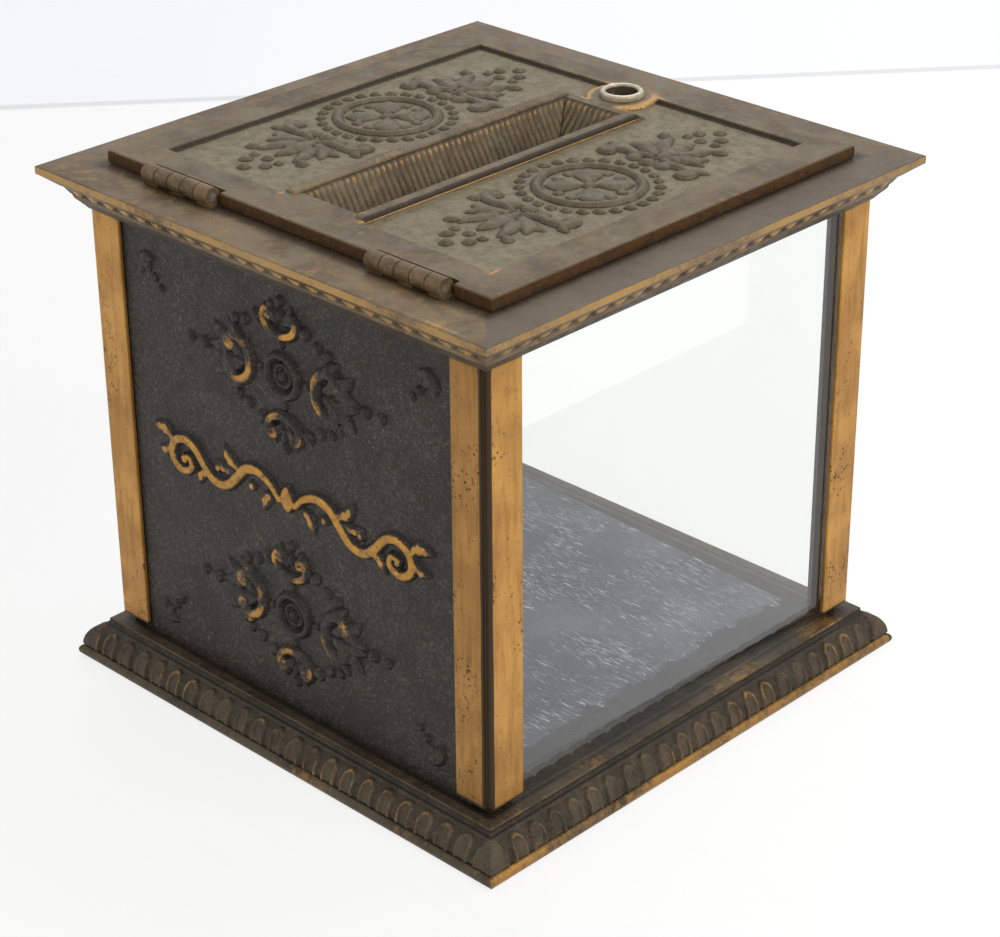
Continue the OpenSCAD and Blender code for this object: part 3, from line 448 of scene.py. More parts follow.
class Finish:
    """A material's node tree, built up socket by socket from patterns on the piece's own coordinates."""

    def __init__(self, name):
        self.material = bpy.data.materials.new(name)
        self.material.use_nodes = True
        self.tree = self.material.node_tree
        self.shader = self.tree.nodes["Principled BSDF"]
        self.output = self.tree.nodes["Material Output"]
        self.place = self.node("TexCoord").outputs["Object"]

    def node(self, kind, inputs=None, **settings):
        made = self.tree.nodes.new("ShaderNode" + kind)
        for key, value in settings.items():
            setattr(made, key, value)
        for key, value in (inputs or {}).items():
            self.put(made.inputs[key], value)
        return made

    def put(self, socket, value):
        if isinstance(value, bpy.types.NodeSocket):
            self.tree.links.new(value, socket)
        elif socket.type == "RGBA":
            socket.default_value = (*value[:3], 1)
        else:
            socket.default_value = value

    def noise(self, size, detail=4.0, rough=0.55, warp=0.0, at=None):
        """Cloudy pattern whose patches are about size millimetres wide, from 0 to 1."""
        return self.node("TexNoise", {"Vector": at or self.place, "Scale": 1 / (size * MM), "Detail": detail,
                                      "Roughness": rough, "Distortion": warp}).outputs["Fac"]

    def cells(self, size):
        """Distance from the nearest of scattered points about size millimetres apart."""
        return self.node("TexVoronoi", {"Vector": self.place, "Scale": 1 / (size * MM)}).outputs["Distance"]

    def turned(self, turn=(0, 0, 0), scale=(1, 1, 1)):
        """The piece's coordinates, turned by angles in degrees and stretched."""
        return self.node("Mapping", {"Vector": self.place, "Rotation": [math.radians(a) for a in turn],
                                     "Scale": scale}).outputs["Vector"]

    def part(self, axis):
        return self.node("SeparateXYZ", {"Vector": self.place}).outputs[axis]

    def mark(self, name):
        return self.node("Attribute", attribute_name=name).outputs["Fac"]

    def window(self, value, low, high, to_low=0.0, to_high=1.0):
        """Stretches value from low..high to to_low..to_high along a smooth curve."""
        return self.node("MapRange", {"Value": value, "From Min": low, "From Max": high, "To Min": to_low,
                                      "To Max": to_high}, interpolation_type="SMOOTHSTEP").outputs["Result"]

    def sum(self, how, a, b):
        return self.node("Math", {0: a, 1: b}, operation=how).outputs[0]

    def times(self, a, b):
        return self.sum("MULTIPLY", a, b)

    def sway(self, pattern, gain):
        """The pattern moved to lie evenly around 0, times the gain."""
        return self.times(self.sum("SUBTRACT", pattern, 0.5), gain)

    def mix(self, share, a, b):
        return self.node("Mix", {0: share, 6: a, 7: b}, data_type="RGBA").outputs[2]

    def blend(self, share, first, second):
        """Sends a mix of two shaders to the output."""
        self.put(self.output.inputs["Surface"], self.node("MixShader", {0: share, 1: first, 2: second}).outputs[0])

    def bump(self, *layers):
        """Bumps from (height pattern, depth in millimetres) layers, one on top of the other."""
        normal = None
        for height, depth in layers:
            inputs = {"Height": height, "Distance": depth * MM, "Strength": 1.0}
            if normal:
                inputs["Normal"] = normal
            normal = self.node("Bump", inputs).outputs["Normal"]
        return normal

    def finish(self, colour, roughness, normal=None, metallic=0.0, **fixed):
        self.put(self.shader.inputs["Base Color"], colour)
        self.put(self.shader.inputs["Roughness"], roughness)
        self.put(self.shader.inputs["Metallic"], metallic)
        if normal:
            self.put(self.shader.inputs["Normal"], normal)
        for key, value in fixed.items():
            self.shader.inputs[key.replace("_", " ")].default_value = value
        return self.material


def patina(name, tones, worn_and_highlight, dirt_and_shade, wear_level, grain, sheen, green=None, blotch=9.0, extra=None):
    """Old cast bronze: three tones in cloudy blotches with pits and pale flecks, brighter metal on worn crests and on
    painted highlights, dark dirt and painted shade in hollows, creases and recesses, and painted shade over whole sides
    that a piece marks. extra may change the ground colour by further marks."""
    f = Finish(name)
    big, small, fine = f.noise(blotch * 2.2, 5, 0.6, 0.4), f.noise(blotch * 0.45, 6, 0.65), f.noise(0.9, 3, 0.6)
    grit = f.noise(0.45, 2, 0.5)
    ground = f.mix(f.window(big, 0.36, 0.64), tones[0], tones[1])
    ground = f.mix(f.window(small, 0.5, 0.72, 0, 0.85), ground, tones[2])
    if green:
        ground = f.mix(f.window(f.noise(blotch * 1.3, 4, 0.6, 0.8), 0.52, 0.7, 0, 0.7), ground, green)
    # Painted shade: a darker tone over the sides that a piece marks as turned from the light.
    ground = f.mix(f.times(f.mark("dim"), 0.62), ground, srgb(84, 76, 68))
    if extra:
        ground = extra(f, ground, fine, small)
    # Rubbed metal tone where the pieces mark crests and edges: real wear, and painted highlights such as the lid's
    # mitre lines and the fronts of the dentils.
    rub = f.sum("ADD", f.mark("wear"), f.sway(small, 0.7))
    rub = f.window(f.sum("ADD", rub, f.sway(fine, 0.45)), wear_level, wear_level + 0.42)
    # Dark tone where the pieces mark hollows: dirt, and painted shade in creases, recesses and under overhangs.
    soot_and_shade = f.sum("ADD", f.mark("grime"), f.sway(small, 0.8))
    soot_and_shade = f.window(soot_and_shade, 0.3, 0.95, 0, 0.9)
    colour = f.mix(rub, f.mix(soot_and_shade, ground, dirt_and_shade), worn_and_highlight)
    colour = f.mix(f.window(fine, 0.58, 0.74, 0, 0.42), colour, dirt_and_shade)
    colour = f.mix(f.window(grit, 0.62, 0.72, 0, 0.3), colour, worn_and_highlight)
    rough = f.sum("SUBTRACT", f.window(small, 0.3, 0.7, sheen - 0.08, sheen + 0.1), f.times(rub, 0.14))
    metal = f.sum("ADD", 0.2, f.times(rub, 0.45))
    normal = f.bump((f.noise(grain, 3, 0.6), 0.16), (grit, 0.07))
    return f.finish(colour, rough, normal, metal, Specular_IOR_Level=0.28)


def lid_extra(f, ground, fine, small):
    """Greenish pebbled ground in the sunk fields with an olive halo round the ornament, and copper-brown sides."""
    field = f.mix(f.window(small, 0.35, 0.7), srgb(114, 103, 80), srgb(92, 86, 64))
    field = f.mix(f.window(fine, 0.42, 0.62, 0, 0.5), field, srgb(130, 118, 90))
    field = f.mix(f.times(f.mark("halo"), 0.8), field, srgb(80, 72, 44))
    colour = f.mix(f.mark("ground"), ground, field)
    raised = f.mix(f.window(small, 0.4, 0.66), srgb(98, 88, 70), srgb(76, 66, 50))
    colour = f.mix(f.times(f.mark("raised"), 0.7), colour, raised)
    copper = f.mix(f.window(small, 0.4, 0.7), srgb(84, 56, 28), srgb(64, 46, 26))
    return f.mix(f.mark("sides"), colour, copper)


def make_finishes(looks):
    """All finishes of the box, by the name of the slot that they dress."""
    tan, brown, grey = tuple(looks.patina_tan), tuple(looks.patina_brown), tuple(looks.patina_grey)
    brass, dark = tuple(looks.brass), tuple(looks.cast_dark)
    return {
        "frame_patina": patina("aged bronze top", (grey, brown, tan), srgb(168, 132, 80), srgb(44, 34, 25),
                               0.56, 0.8, 0.5, green=srgb(106, 102, 80)),
        "lid_patina": patina("aged bronze lid", (srgb(104, 90, 68), srgb(77, 63, 44), srgb(126, 105, 70)),
                             srgb(166, 128, 74), srgb(38, 29, 21), 0.6, 0.7, 0.5, green=srgb(102, 98, 76), blotch=7,
                             extra=lid_extra),
        "base_bronze": patina("brown cast base", (srgb(80, 68, 52), srgb(56, 46, 35), srgb(94, 80, 58)),
                              srgb(160, 118, 60), srgb(28, 24, 19), 0.58, 0.9, 0.48, green=srgb(66, 68, 54), blotch=5),
        "panel_bronze": patina("blackened cast panel", (dark, srgb(42, 38, 35), srgb(74, 68, 62)),
                               srgb(186, 136, 60), srgb(22, 19, 17), 0.7, 1.3, 0.46, blotch=6, extra=panel_extra),
        "post_brass": make_brass(brass),
        "hinge_brass": patina("bronze hinge", (srgb(112, 92, 64), srgb(84, 67, 46), srgb(132, 110, 78)),
                              srgb(168, 130, 78), srgb(40, 30, 20), 0.7, 0.8, 0.45, blotch=3),
        "steel_bright": patina("dull steel", (srgb(120, 116, 108), srgb(96, 92, 86), srgb(136, 132, 122)),
                               srgb(170, 166, 156), srgb(60, 54, 48), 0.7, 0.6, 0.4, blotch=3),
        "lock_nickel": patina("nickel", (srgb(170, 158, 134), srgb(146, 134, 112), srgb(188, 178, 156)),
                              srgb(206, 197, 176), srgb(52, 43, 33), 0.75, 0.7, 0.3, blotch=3),
        "zinc_plate": make_zinc(),
        "pane_glass": make_glass(),
    }


def panel_extra(f, ground, fine, small):
    """Pebbles about a millimetre wide: dark in the gaps between them, with pale flecks on some."""
    gap = f.window(f.cells(1.5), 0.28, 0.55, 0, 0.7)
    fleck = f.times(f.window(fine, 0.52, 0.66), f.window(f.noise(5, 4, 0.6), 0.46, 0.66))
    return f.mix(f.times(fleck, 0.45), f.mix(gap, ground, srgb(34, 30, 28)), srgb(112, 106, 98))


def make_brass(brass):
    """Drawn brass with lengthwise streaks and small dark pits in patches; painted shade darkens the faces a post marks
    as turned from the light, and dirt with painted shade blackens the sunk corners, the ends and the inner faces that
    the posts mark.
    """
    f = Finish("pitted brass")
    streak = f.noise(2.2, 5, 0.6, at=f.turned(scale=(1, 1, 0.12)))
    cloud = f.noise(16, 4, 0.6)
    where = f.window(f.noise(9, 4, 0.65, at=f.turned(scale=(1, 1, 0.5))), 0.5, 0.64)
    pits = f.times(f.window(f.cells(1.5), 0.34, 0.16), where)
    stain = f.times(f.window(f.noise(1.6, 5, 0.7, at=f.turned(scale=(1, 1, 0.45))), 0.54, 0.66), where)
    specks = f.window(f.noise(0.7, 2, 0.5), 0.68, 0.74)
    colour = f.mix(f.window(cloud, 0.35, 0.68), brass, srgb(164, 118, 58))
    colour = f.mix(f.window(streak, 0.46, 0.68, 0, 0.55), colour, srgb(140, 98, 46))
    # Painted shade: a darker tone over the faces that a post marks as turned from the light.
    colour = f.mix(f.times(f.mark("dim"), 0.34), colour, srgb(112, 78, 38))
    colour = f.mix(f.times(stain, 0.75), colour, srgb(92, 64, 34))
    colour = f.mix(f.times(f.sum("MAXIMUM", pits, specks), 0.9), colour, srgb(46, 32, 20))
    # Dark tone where the posts mark it: dirt, and painted shade in the sunk corner, near the ends and on the foot.
    soot_and_shade = f.window(f.sum("ADD", f.mark("grime"), f.sway(cloud, 0.5)), 0.35, 0.75)
    colour = f.mix(soot_and_shade, colour, srgb(66, 51, 35))
    rough = f.window(streak, 0.3, 0.7, 0.36, 0.52)
    normal = f.bump((streak, 0.03), (f.times(pits, -1.0), 0.06))
    return f.finish(colour, rough, normal, 0.5, Specular_IOR_Level=0.3)


def make_zinc():
    """Blue-grey sheet with crossing pale scratches and a blackened, torn-edged border along its +X side."""
    f = Finish("scratched grey sheet")
    cloud = f.noise(30, 5, 0.6, 0.3)
    colour = f.mix(f.window(cloud, 0.35, 0.65), srgb(76, 78, 87), srgb(58, 60, 68))
    scratches = ((20, 5, 0.63), (-50, 4, 0.635), (75, 3.6, 0.64), (-12, 6, 0.63), (48, 3.2, 0.64))
    for k, (turn, size, level) in enumerate(scratches):
        at = f.turned((0, 0, turn), (0.1, 1, 1))
        line = f.window(f.noise(size * 0.1, 2, 0.5, 0.3, at=at), level + 0.002, level + 0.028)
        patchy = f.window(f.noise(9 + 3 * k, 3, 0.6), 0.48, 0.6)
        colour = f.mix(f.times(f.times(line, patchy), 0.75), colour, srgb(176, 180, 186))
    torn = f.sway(f.noise(6, 6, 0.7), 0.022)
    edge = f.window(f.sum("ADD", f.part("X"), torn), 0.0565, 0.058)
    colour = f.mix(edge, colour, srgb(16, 16, 16))
    rough = f.window(cloud, 0.3, 0.7, 0.42, 0.6)
    return f.finish(colour, rough, f.bump((f.noise(1.4, 4, 0.6), 0.05)), 0.15, Specular_IOR_Level=0.3)


def make_glass():
    """Clear old sheet glass with a faint green body, tiny ripples and a few dust specks."""
    f = Finish("clear glass")
    f.shader.inputs["Transmission Weight"].default_value = 1.0
    f.shader.inputs["IOR"].default_value = 1.5
    ripple = f.noise(38, 2, 0.5)
    rough = f.window(f.noise(9, 6, 0.7), 0.66, 0.8, 0.0, 0.12)
    material = f.finish((0.99, 1.0, 0.99), rough, f.bump((ripple, 0.02)), 0.0)
    see = f.node("BsdfTransparent", {"Color": (0.97, 0.985, 0.975)}).outputs[0]
    shade = f.node("LightPath").outputs["Is Shadow Ray"]
    f.blend(shade, f.shader.outputs[0], see)
    return material


FINISHES = {}


def finish_of(slot):
    """The finish of a slot, made on first use."""
    if not FINISHES:
        FINISHES.update(make_finishes(bpy.context.scene.receipt_box_looks))
    return FINISHES[slot]


def dress(slot, *nodes):
    """Gives nodes of the frame the finish of a slot."""
    for name in nodes:
        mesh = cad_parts[name].data
        mesh.materials.clear()
        mesh.materials.append(finish_of(slot))


# ---------------------------------------------------------------- settings

def length(name, description, default, low, high):
    """A length setting, given in millimetres."""
    return bpy.props.FloatProperty(name=name, description=description, default=default * MM, min=low * MM,
                                   max=high * MM, unit="LENGTH")


def tone(name, description, red, green, blue):
    """A colour setting, given as it is seen."""
    return bpy.props.FloatVectorProperty(name=name, description=description, subtype="COLOR", min=0, max=1,
                                         default=srgb(red, green, blue))


class ReceiptBoxSizes(bpy.types.PropertyGroup):
    ornament_height: length("Ornament Height", "Height of the cast ornament on the lid's sunk fields", 1.25, 0.4, 1.3)
    panel_relief: length("Panel Relief", "Height of the cast ornament on the front panel", 1.8, 0.6, 1.9)
    rib_height: length("Rib Height", "Height of the ribs on the walls of the trough", 0.55, 0.2, 0.7)
    arch_height: length("Arch Height", "Height of the arched rims along the base", 0.45, 0.2, 0.7)
    dentil_depth: length("Dentil Depth", "Depth of the gaps between the leaning dentils", 1.4, 0.6, 1.6)


class ReceiptBoxLooks(bpy.types.PropertyGroup):
    patina_grey: tone("Grey Patina", "Main tone of the top frame", 116, 98, 74)
    patina_brown: tone("Brown Patina", "Darker tone of the top frame", 84, 67, 46)
    patina_tan: tone("Tan Patina", "Rubbed tone of the top frame", 146, 117, 74)
    brass: tone("Brass", "Colour of the corner posts", 190, 141, 72)
    cast_dark: tone("Blackened Bronze", "Ground of the cast front panel", 58, 53, 49)
    light_level: bpy.props.FloatProperty(
        name="Light Level", description="Strength of the soft light around the box", default=0.72, min=0.1, max=2)


# ---------------------------------------------------------------- pieces

class RECEIPTBOX_OT_stage(bpy.types.Operator):
    """Sets the camera, the pale table and the soft light"""
    bl_idname = "receipt_box.stage"
    bl_label = "Stage and Light"

    def execute(self, context):
        scene = context.scene
        across = (0.71835, 0.695653, -0.006341)
        down = (0.317161, -0.335594, -0.887009)
        ahead = (-0.619179, 0.635172, -0.461708)
        lens = bpy.data.cameras.new("camera")
        lens.sensor_width = 36
        lens.lens = 2692.376 * 36 / 1000
        lens.clip_end = 50
        camera = bpy.data.objects.new("camera", lens)
        turn = Matrix([[a, -d, -f] for a, d, f in zip(across, down, ahead)]).to_4x4()
        camera.matrix_world = Matrix.Translation((0.476521, -0.482448, 0.412668)) @ turn
        scene.collection.objects.link(camera)
        scene.camera = camera
        self.floor(scene)
        self.light(context)
        return {"FINISHED"}

    def floor(self, scene):
        """Flat square table top, with a paler strip and a seam beyond a line across the table, and a painted light that
        brightens what the camera sees of it towards +X and +Y.
        """
        f = Finish("pale table")
        away = f.sum("ADD", f.times(f.part("X"), -0.7664), f.times(f.part("Y"), 0.6424))
        wall = f.window(away, 0.4885, 0.4895)
        seam = f.times(f.window(away, 0.4835, 0.487), f.window(away, 0.4925, 0.49))
        colour = f.mix(wall, (0.985, 0.985, 0.98), (0.945, 0.955, 0.97))
        colour = f.mix(f.times(seam, 0.75), colour, (0.74, 0.74, 0.75))
        grain = f.noise(14, 5, 0.6, at=f.turned((0, 0, 45), (0.2, 1, 1)))
        colour = f.mix(f.window(grain, 0.55, 0.75, 0, 0.3), colour, (0.93, 0.93, 0.93))
        f.finish(colour, 0.55, f.bump((f.noise(3, 4, 0.6), 0.05)))
        # Painted light: the glow that the camera sees grows brighter towards +X and +Y across the table.
        across = f.sum("ADD", f.part("X"), f.part("Y"))
        painted_floor_light = f.node("Emission", {"Color": colour, "Strength": f.window(across, -0.4, 0.3, 0.93, 1.03)}).outputs[0]
        path = f.node("LightPath").outputs
        mirrored = f.sum("MAXIMUM", path["Is Glossy Ray"], path["Is Transmission Ray"])
        seen = f.sum("MAXIMUM", path["Is Camera Ray"], mirrored)
        f.blend(f.times(seen, 0.84), f.shader.outputs[0], painted_floor_light)
        mesh = bpy.data.meshes.new("table")
        mesh.from_pydata([(-4, -4, 0), (4, -4, 0), (4, 4, 0), (-4, 4, 0)], [], [(0, 1, 2, 3)])
        mesh.materials.append(f.material)
        table = bpy.data.objects.new("table", mesh)
        scene.collection.objects.link(table)

    def light(self, context):
        """A pale room and three large soft lamps: from the right, from above the lock side, and low from the left."""
        scene = context.scene
        level = scene.receipt_box_looks.light_level
        world = bpy.data.worlds.new("pale room")
        world.use_nodes = True
        nodes, links = world.node_tree.nodes, world.node_tree.links
        room = nodes["Background"]
        room.inputs["Color"].default_value = (0.97, 0.985, 1.0, 1)
        room.inputs["Strength"].default_value = level
        seen = nodes.new("ShaderNodeBackground")
        seen.inputs["Color"].default_value = (0.94, 0.95, 0.965, 1)
        seen.inputs["Strength"].default_value = 1.0
        path = nodes.new("ShaderNodeLightPath")
        share = path.outputs["Is Camera Ray"]
        for ray in ("Is Transmission Ray", "Is Glossy Ray"):
            either = nodes.new("ShaderNodeMath")
            either.operation = "MAXIMUM"
            links.new(share, either.inputs[0])
            links.new(path.outputs[ray], either.inputs[1])
            share = either.outputs[0]
        both = nodes.new("ShaderNodeMixShader")
        for socket, source in zip(both.inputs, (share, room.outputs[0], seen.outputs[0])):
            links.new(source, socket)
        links.new(both.outputs[0], nodes["World Output"].inputs["Surface"])
        scene.world = world
        scene.view_settings.view_transform = "Standard"
        for name, place, aim, size, power, tint in (
                ("window", (1.3, 0.15, 1.0), (0, 0, 0.08), 1.0, 12.0, (1, 0.98, 0.95)),
                ("ceiling", (-0.5, 0.9, 1.5), (0, 0, 0.1), 1.2, 9.0, (0.97, 0.98, 1)),
                ("fill", (-0.5, -1.3, 0.6), (0, 0, 0.08), 0.9, 1.6, (1, 1, 1))):
            data = bpy.data.lights.new(name, "AREA")
            data.size = size
            data.energy = power
            data.color = tint
            lamp = bpy.data.objects.new(name, data)
            way = Matrix.Translation(place).translation - Matrix.Translation(aim).translation
            lamp.rotation_mode = "QUATERNION"
            lamp.rotation_quaternion = way.to_track_quat("Z", "Y")
            lamp.location = place
            scene.collection.objects.link(lamp)


class RECEIPTBOX_OT_base(bpy.types.Operator):
    """Makes the moulded base with its row of arched tongues, and the deck that carries the posts"""
    bl_idname = "receipt_box.base"
    bl_label = "Base"

    def execute(self, context):
        rim = context.scene.receipt_box_sizes.arch_height / MM
        swell_x, swell_r, bead, ledge, lip = BASE_HALF - 8.6, 7.6, 3.6, BASE_H - 1.8, BODY_HALF + 3
        run, deck = 77.7, 72
        round_bead = [(BASE_HALF - 1.8 + 1.8 * math.cos(a), 1.8 + 1.8 * math.sin(a))
                      for a in np.radians(np.arange(-90, 91, 15))]
        low = math.asin(0.35 / swell_r)
        high = math.asin((ledge - bead) / swell_r)
        swell = [(swell_x + swell_r * math.cos(a), bead + swell_r * math.sin(a)) for a in np.linspace(low, high, 24)]
        cove = [(lip + 1.08 - 1.08 * math.sin(a), ledge + 1.08 - 1.08 * math.cos(a))
                for a in np.radians(np.arange(15, 91, 15))]
        upper = [(lip, BASE_H - 0.25), (lip - 0.25, BASE_H), (75.5, BASE_H), (74, BASE_H), (deck, BASE_H),
                 (deck, 6), (deck, 0), (BASE_HALF - 4, 0)]
        outline = np.array(round_bead + swell + cove + upper)

        def relief(side, along, half, height):
            """Arches: s is the place within one arch. Its rim is a half-round bar on an upside-down U, the tongue
            inside is slightly convex, and the ground between the arches is sunk."""
            pitch, leg, head = 7.2, 1.95, 7.7
            on = (half > lip + 0.6) & (height > bead + 0.2) & (height < ledge + 0.05) & (np.abs(along) < run)
            on = on.astype(float)
            s = (along + pitch / 2) % pitch - pitch / 2
            above = np.maximum(height - head, 0)
            far = np.abs(np.where(height > head, np.hypot(s, above), np.abs(s)) - leg)
            inside = np.where(height > head, np.hypot(s, above), np.abs(s)) < leg
            bar = np.sqrt(np.clip(1 - (far / 0.58) ** 2, 0, 1))
            tongue = 0.12 * np.sqrt(np.clip(1 - (s / leg) ** 2, 0, 1)) - 0.42
            push = np.where(inside, tongue, -0.45)
            push = np.maximum(push, -0.45 + (rim + 0.35) * bar)
            push = push * on * step_up(height, bead + 0.2, bead + 0.7) * step_up(ledge - height, 0, 0.3)
            rub = wander(along + 200 * side, height, seed=3, scale=0.22) * 0.25
            wear = on * (bar * 0.66 + 0.05 * inside)
            wear = wear + (height < bead) * (half > BASE_HALF - 1.9) * (0.5, 0.8, 0.5, 0.6)[side]
            wear = wear + (height > BASE_H - 0.4) * (0.62 if side == 1 else 0.12) + rub * 0.7
            wear = wear + (np.abs(height - ledge) < 0.3) * (half > lip + 0.9) * (0.2, 0.45, 0.2, 0.3)[side]
            # Dark between the arches, in the crease above the bead, on the lip's upright face and on the ledge round
            # the foot of the body: dirt and painted shade.
            grime = on * (0.62 - 0.7 * bar - 0.22 * inside) + (np.abs(height - bead - 0.2) < 0.35) * 0.9
            grime = grime + (half < lip + 1.3) * (height > ledge - 0.2) * (height < BASE_H - 0.5) * 0.8
            grime = grime + step_up(75.4 - half, 0, 1.2) * (height > BASE_H - 0.1) * 0.9
            return push, {"wear": wear, "grime": np.clip(grime, 0, 1)}

        middles = lines(-run, run, 0.42)
        ends = np.array([0.25, 0.5, 0.75, 1.0])
        points, faces, marks = square_ring(outline, middles, run, ends, relief, run + 0.05)
        build("base_moulding", points, faces, "box", "base_bronze", ["base_frame"], marks)

        xs = lines(-deck, deck, 6, (62, 0.03, 0.03), (-62, 0.03, 0.03))
        top = np.full((len(xs), len(xs)), BASE_H)
        inner = np.maximum(np.abs(xs)[:, None], np.abs(xs)[None, :])
        bottom = np.where(inner < 62.02, BASE_H - 2.5, 0.02)
        points, faces = slab(xs, xs, top, bottom)
        edge = np.tile(step_up(inner, 60, 68).ravel(), 2)
        build("base_deck", points, faces, "box", "base_bronze",
              marks={"wear": 0 * edge, "grime": 0.4 + 0.5 * edge})
        return {"FINISHED"}


class RECEIPTBOX_OT_posts(bpy.types.Operator):
    """Makes the four brass corner posts, the first with a sunk corner, and their set-back feet"""
    bl_idname = "receipt_box.posts"
    bl_label = "Corner Posts"

    def execute(self, context):
        for side, name in enumerate(("post_front_right", "post_back_right", "post_back_left", "post_front_left")):
            self.post(side, name, 12.5 if side == 0 else 11.0)
        return {"FINISHED"}

    def post(self, side, name, leg):
        """Section of the post carried straight up, with the square foot below; the first post has the sunk corner."""
        b = BODY_HALF
        corner = [(b - 2.5, -b), (b - 2.5, -b + 1.4), (b, -b + 1.4)] if side == 0 else [(b, -b)]
        plan = [(b - leg, -b), *corner, (b, -b + leg), (b - 1.3, -b + leg),
                (b - 1.3, -b + 9.5), (b - 4, -b + 9.5), (b - 4, -b + leg), (b - 5, -b + leg), (b - 5, -b + 9),
                (b - 9, -b + 9), (b - 9, -b + 5), (b - leg, -b + 5), (b - leg, -b + 4), (b - 9.5, -b + 4),
                (b - 9.5, -b + 1.3), (b - leg, -b + 1.3)]
        soft = [0.45, *([0.5, 0.3, 0.5] if side == 0 else [0.6]), 0.45, 0.3] + [0.15] * 11 + [0.3]
        outline = resample(rounded(plan, soft, 5), 1.6)
        low, high = BASE_H + 2.2, POST_TOP
        levels = lines(low, high, 2.5, (low, 1, 0.25), (high, 1, 0.25))
        x, y = outline[None, :, 0], outline[None, :, 1]
        z = levels[:, None]
        end = np.minimum(z - low, high - z)
        body = np.stack(np.broadcast_arrays(x, y, z), -1)
        count = len(outline)
        notch = step_up(-np.hypot(np.maximum(b - 2.6 - x, 0), np.maximum(y + b - 1.5, 0)), -0.45, 0.0)
        # Darker in the sunk corner of the first post and towards both ends: painted shade in the channel, under the top
        # frame and at the foot, with some dirt.
        grime = notch * (0.95 if side == 0 else 0.0) + 0.6 * step_up(1.6 - end, 0, 1.6)
        grime = grime + 0.25 * wander(x, y, z, seed=9, scale=0.12)
        # The inner faces are darkened all over.
        inside = (x < b - 1.5) & (y > -b + 1.5)
        grime = np.clip(np.where(inside, 0.75, grime), 0, 1)
        caps = [np.arange(count)[::-1][None, :], (len(levels) - 1) * count + np.arange(count)[None, :]]
        lo = np.array([b - 8.9, -b + 2.1, BASE_H - 0.9])
        hi = np.array([b - 2.1, -b + 8.9, low + 0.1])
        foot = rounded([(lo[0], lo[1]), (hi[0], lo[1]), (hi[0], hi[1]), (lo[0], hi[1])], [0.8] * 4, 4)
        rings = np.array([lo[2], BASE_H + 0.1, BASE_H + 1.1, hi[2]])
        block = np.stack(np.broadcast_arrays(foot[None, :, 0], foot[None, :, 1], rings[:, None]), -1)
        start = len(levels) * count
        faces = [grid_faces(len(levels), count, False, True)[:, ::-1], *caps,
                 grid_faces(len(rings), len(foot), False, True, start)[:, ::-1],
                 start + np.arange(len(foot))[::-1][None, :],
                 start + (len(rings) - 1) * len(foot) + np.arange(len(foot))[None, :]]
        points = np.concatenate([body.reshape(-1, 3), block.reshape(-1, 3)])
        # The set-back foot is darkened all over: painted shadow in the gap under the post.
        grime = np.concatenate([grime.ravel(), np.ones(len(foot) * len(rings))])
        turn = np.array(Matrix.Rotation(math.pi / 2 * side, 3, "Z"))
        # Painted shade: one outer face of each front post, and its whole foot, take a darker tone.
        shaded = np.concatenate([(y + 0 * z < -b + 0.2).ravel() * 1.0, np.ones(len(foot) * len(rings))])
        build(name.replace("post", "corner_post"), points @ turn.T, faces, "box", "post_brass",
              [name], {"grime": grime, "dim": shaded * (side in (0, 3))}, sharp=50)


def gilt_scrolls(r, centre, h):
    """The scrolled forms of a panel medallion, whose crests are rubbed to gold."""
    r.place(centre, *FOUR_WAYS)
    volute = bent((12.6, 0), (12.7, 2.4), (14.4, 4.8), (17.2, 6.2), (20.2, 5.6), (21.2, 3.6), (19.6, 2.6), (18.4, 3.7))
    r.stroke(volute, np.interp(np.linspace(0, 1, 98), (0, 0.35, 0.7, 1), (3.4, 3.5, 2.8, 1.9)), h)
    r.bead((19.3, 4.3), 2.8, h).bead((14.2, 5.4), 2.6, h * 0.95).bead((17.6, 8.0), (3.2, 2.4), h * 0.9, 30)
    r.stroke(bent((0, 11.6), (2.2, 11.9), (4.8, 13.2), (6.2, 15.6), (5.2, 18.0), (3.2, 17.6), (3.4, 15.8)),
             np.interp(np.linspace(0, 1, 84), (0, 0.4, 1), (2.8, 3.0, 1.8)), h)
    r.bead((4.4, 16.2), 2.2, h)


def panel_medallion(r, centre, h):
    """Ringed boss, scrolled clusters at both sides, smaller clusters above and below, and chains of beads."""
    r.place(centre)
    r.stroke(arc((0, 0), 5.7, 5.7, 0, 360, 40), 2.2, h * 0.95)
    r.stroke(arc((0, 0), 3.1, 3.1, 0, 360, 30), 1.3, h * 0.55)
    r.bead((0, 0), 3, h)
    gilt_scrolls(r, centre, h)
    r.bead((8.9, 0), 2.3, h * 0.6).bead((0, 8.9), 2.3, h * 0.6)
    r.leaf((14.5, 0.7), (25.0, 2.8), 4.0, h * 0.85, 0.08, 3)
    r.leaf((19, 1.2), (29.0, 0.6), 3.2, h * 0.8, 0.05, 3)
    r.leaf((20, 4.2), (26.8, 7.6), 4.0, h * 0.8, -0.12, 3)
    r.leaf((16.2, 6.6), (21.4, 10.2), 3.2, h * 0.7, -0.1, 2)
    r.bead((31, 0), 3.5, h * 0.9).bead((36.6, 0), 3.0, h * 0.8)
    r.leaf((1.2, 14.2), (4.2, 20.8), 3.4, h * 0.85, -0.1, 2)
    r.bead((0, 17.2), (2.6, 3.6), h * 0.8).bead((0, 21.1), 2.9, h * 0.9)
    r.bead((9.2, 14.6), (4.4, 3.4), h * 0.9, 50).bead((13.8, 12.1), 3.3, h * 0.8).bead((17.9, 11), 2.9, h * 0.8)


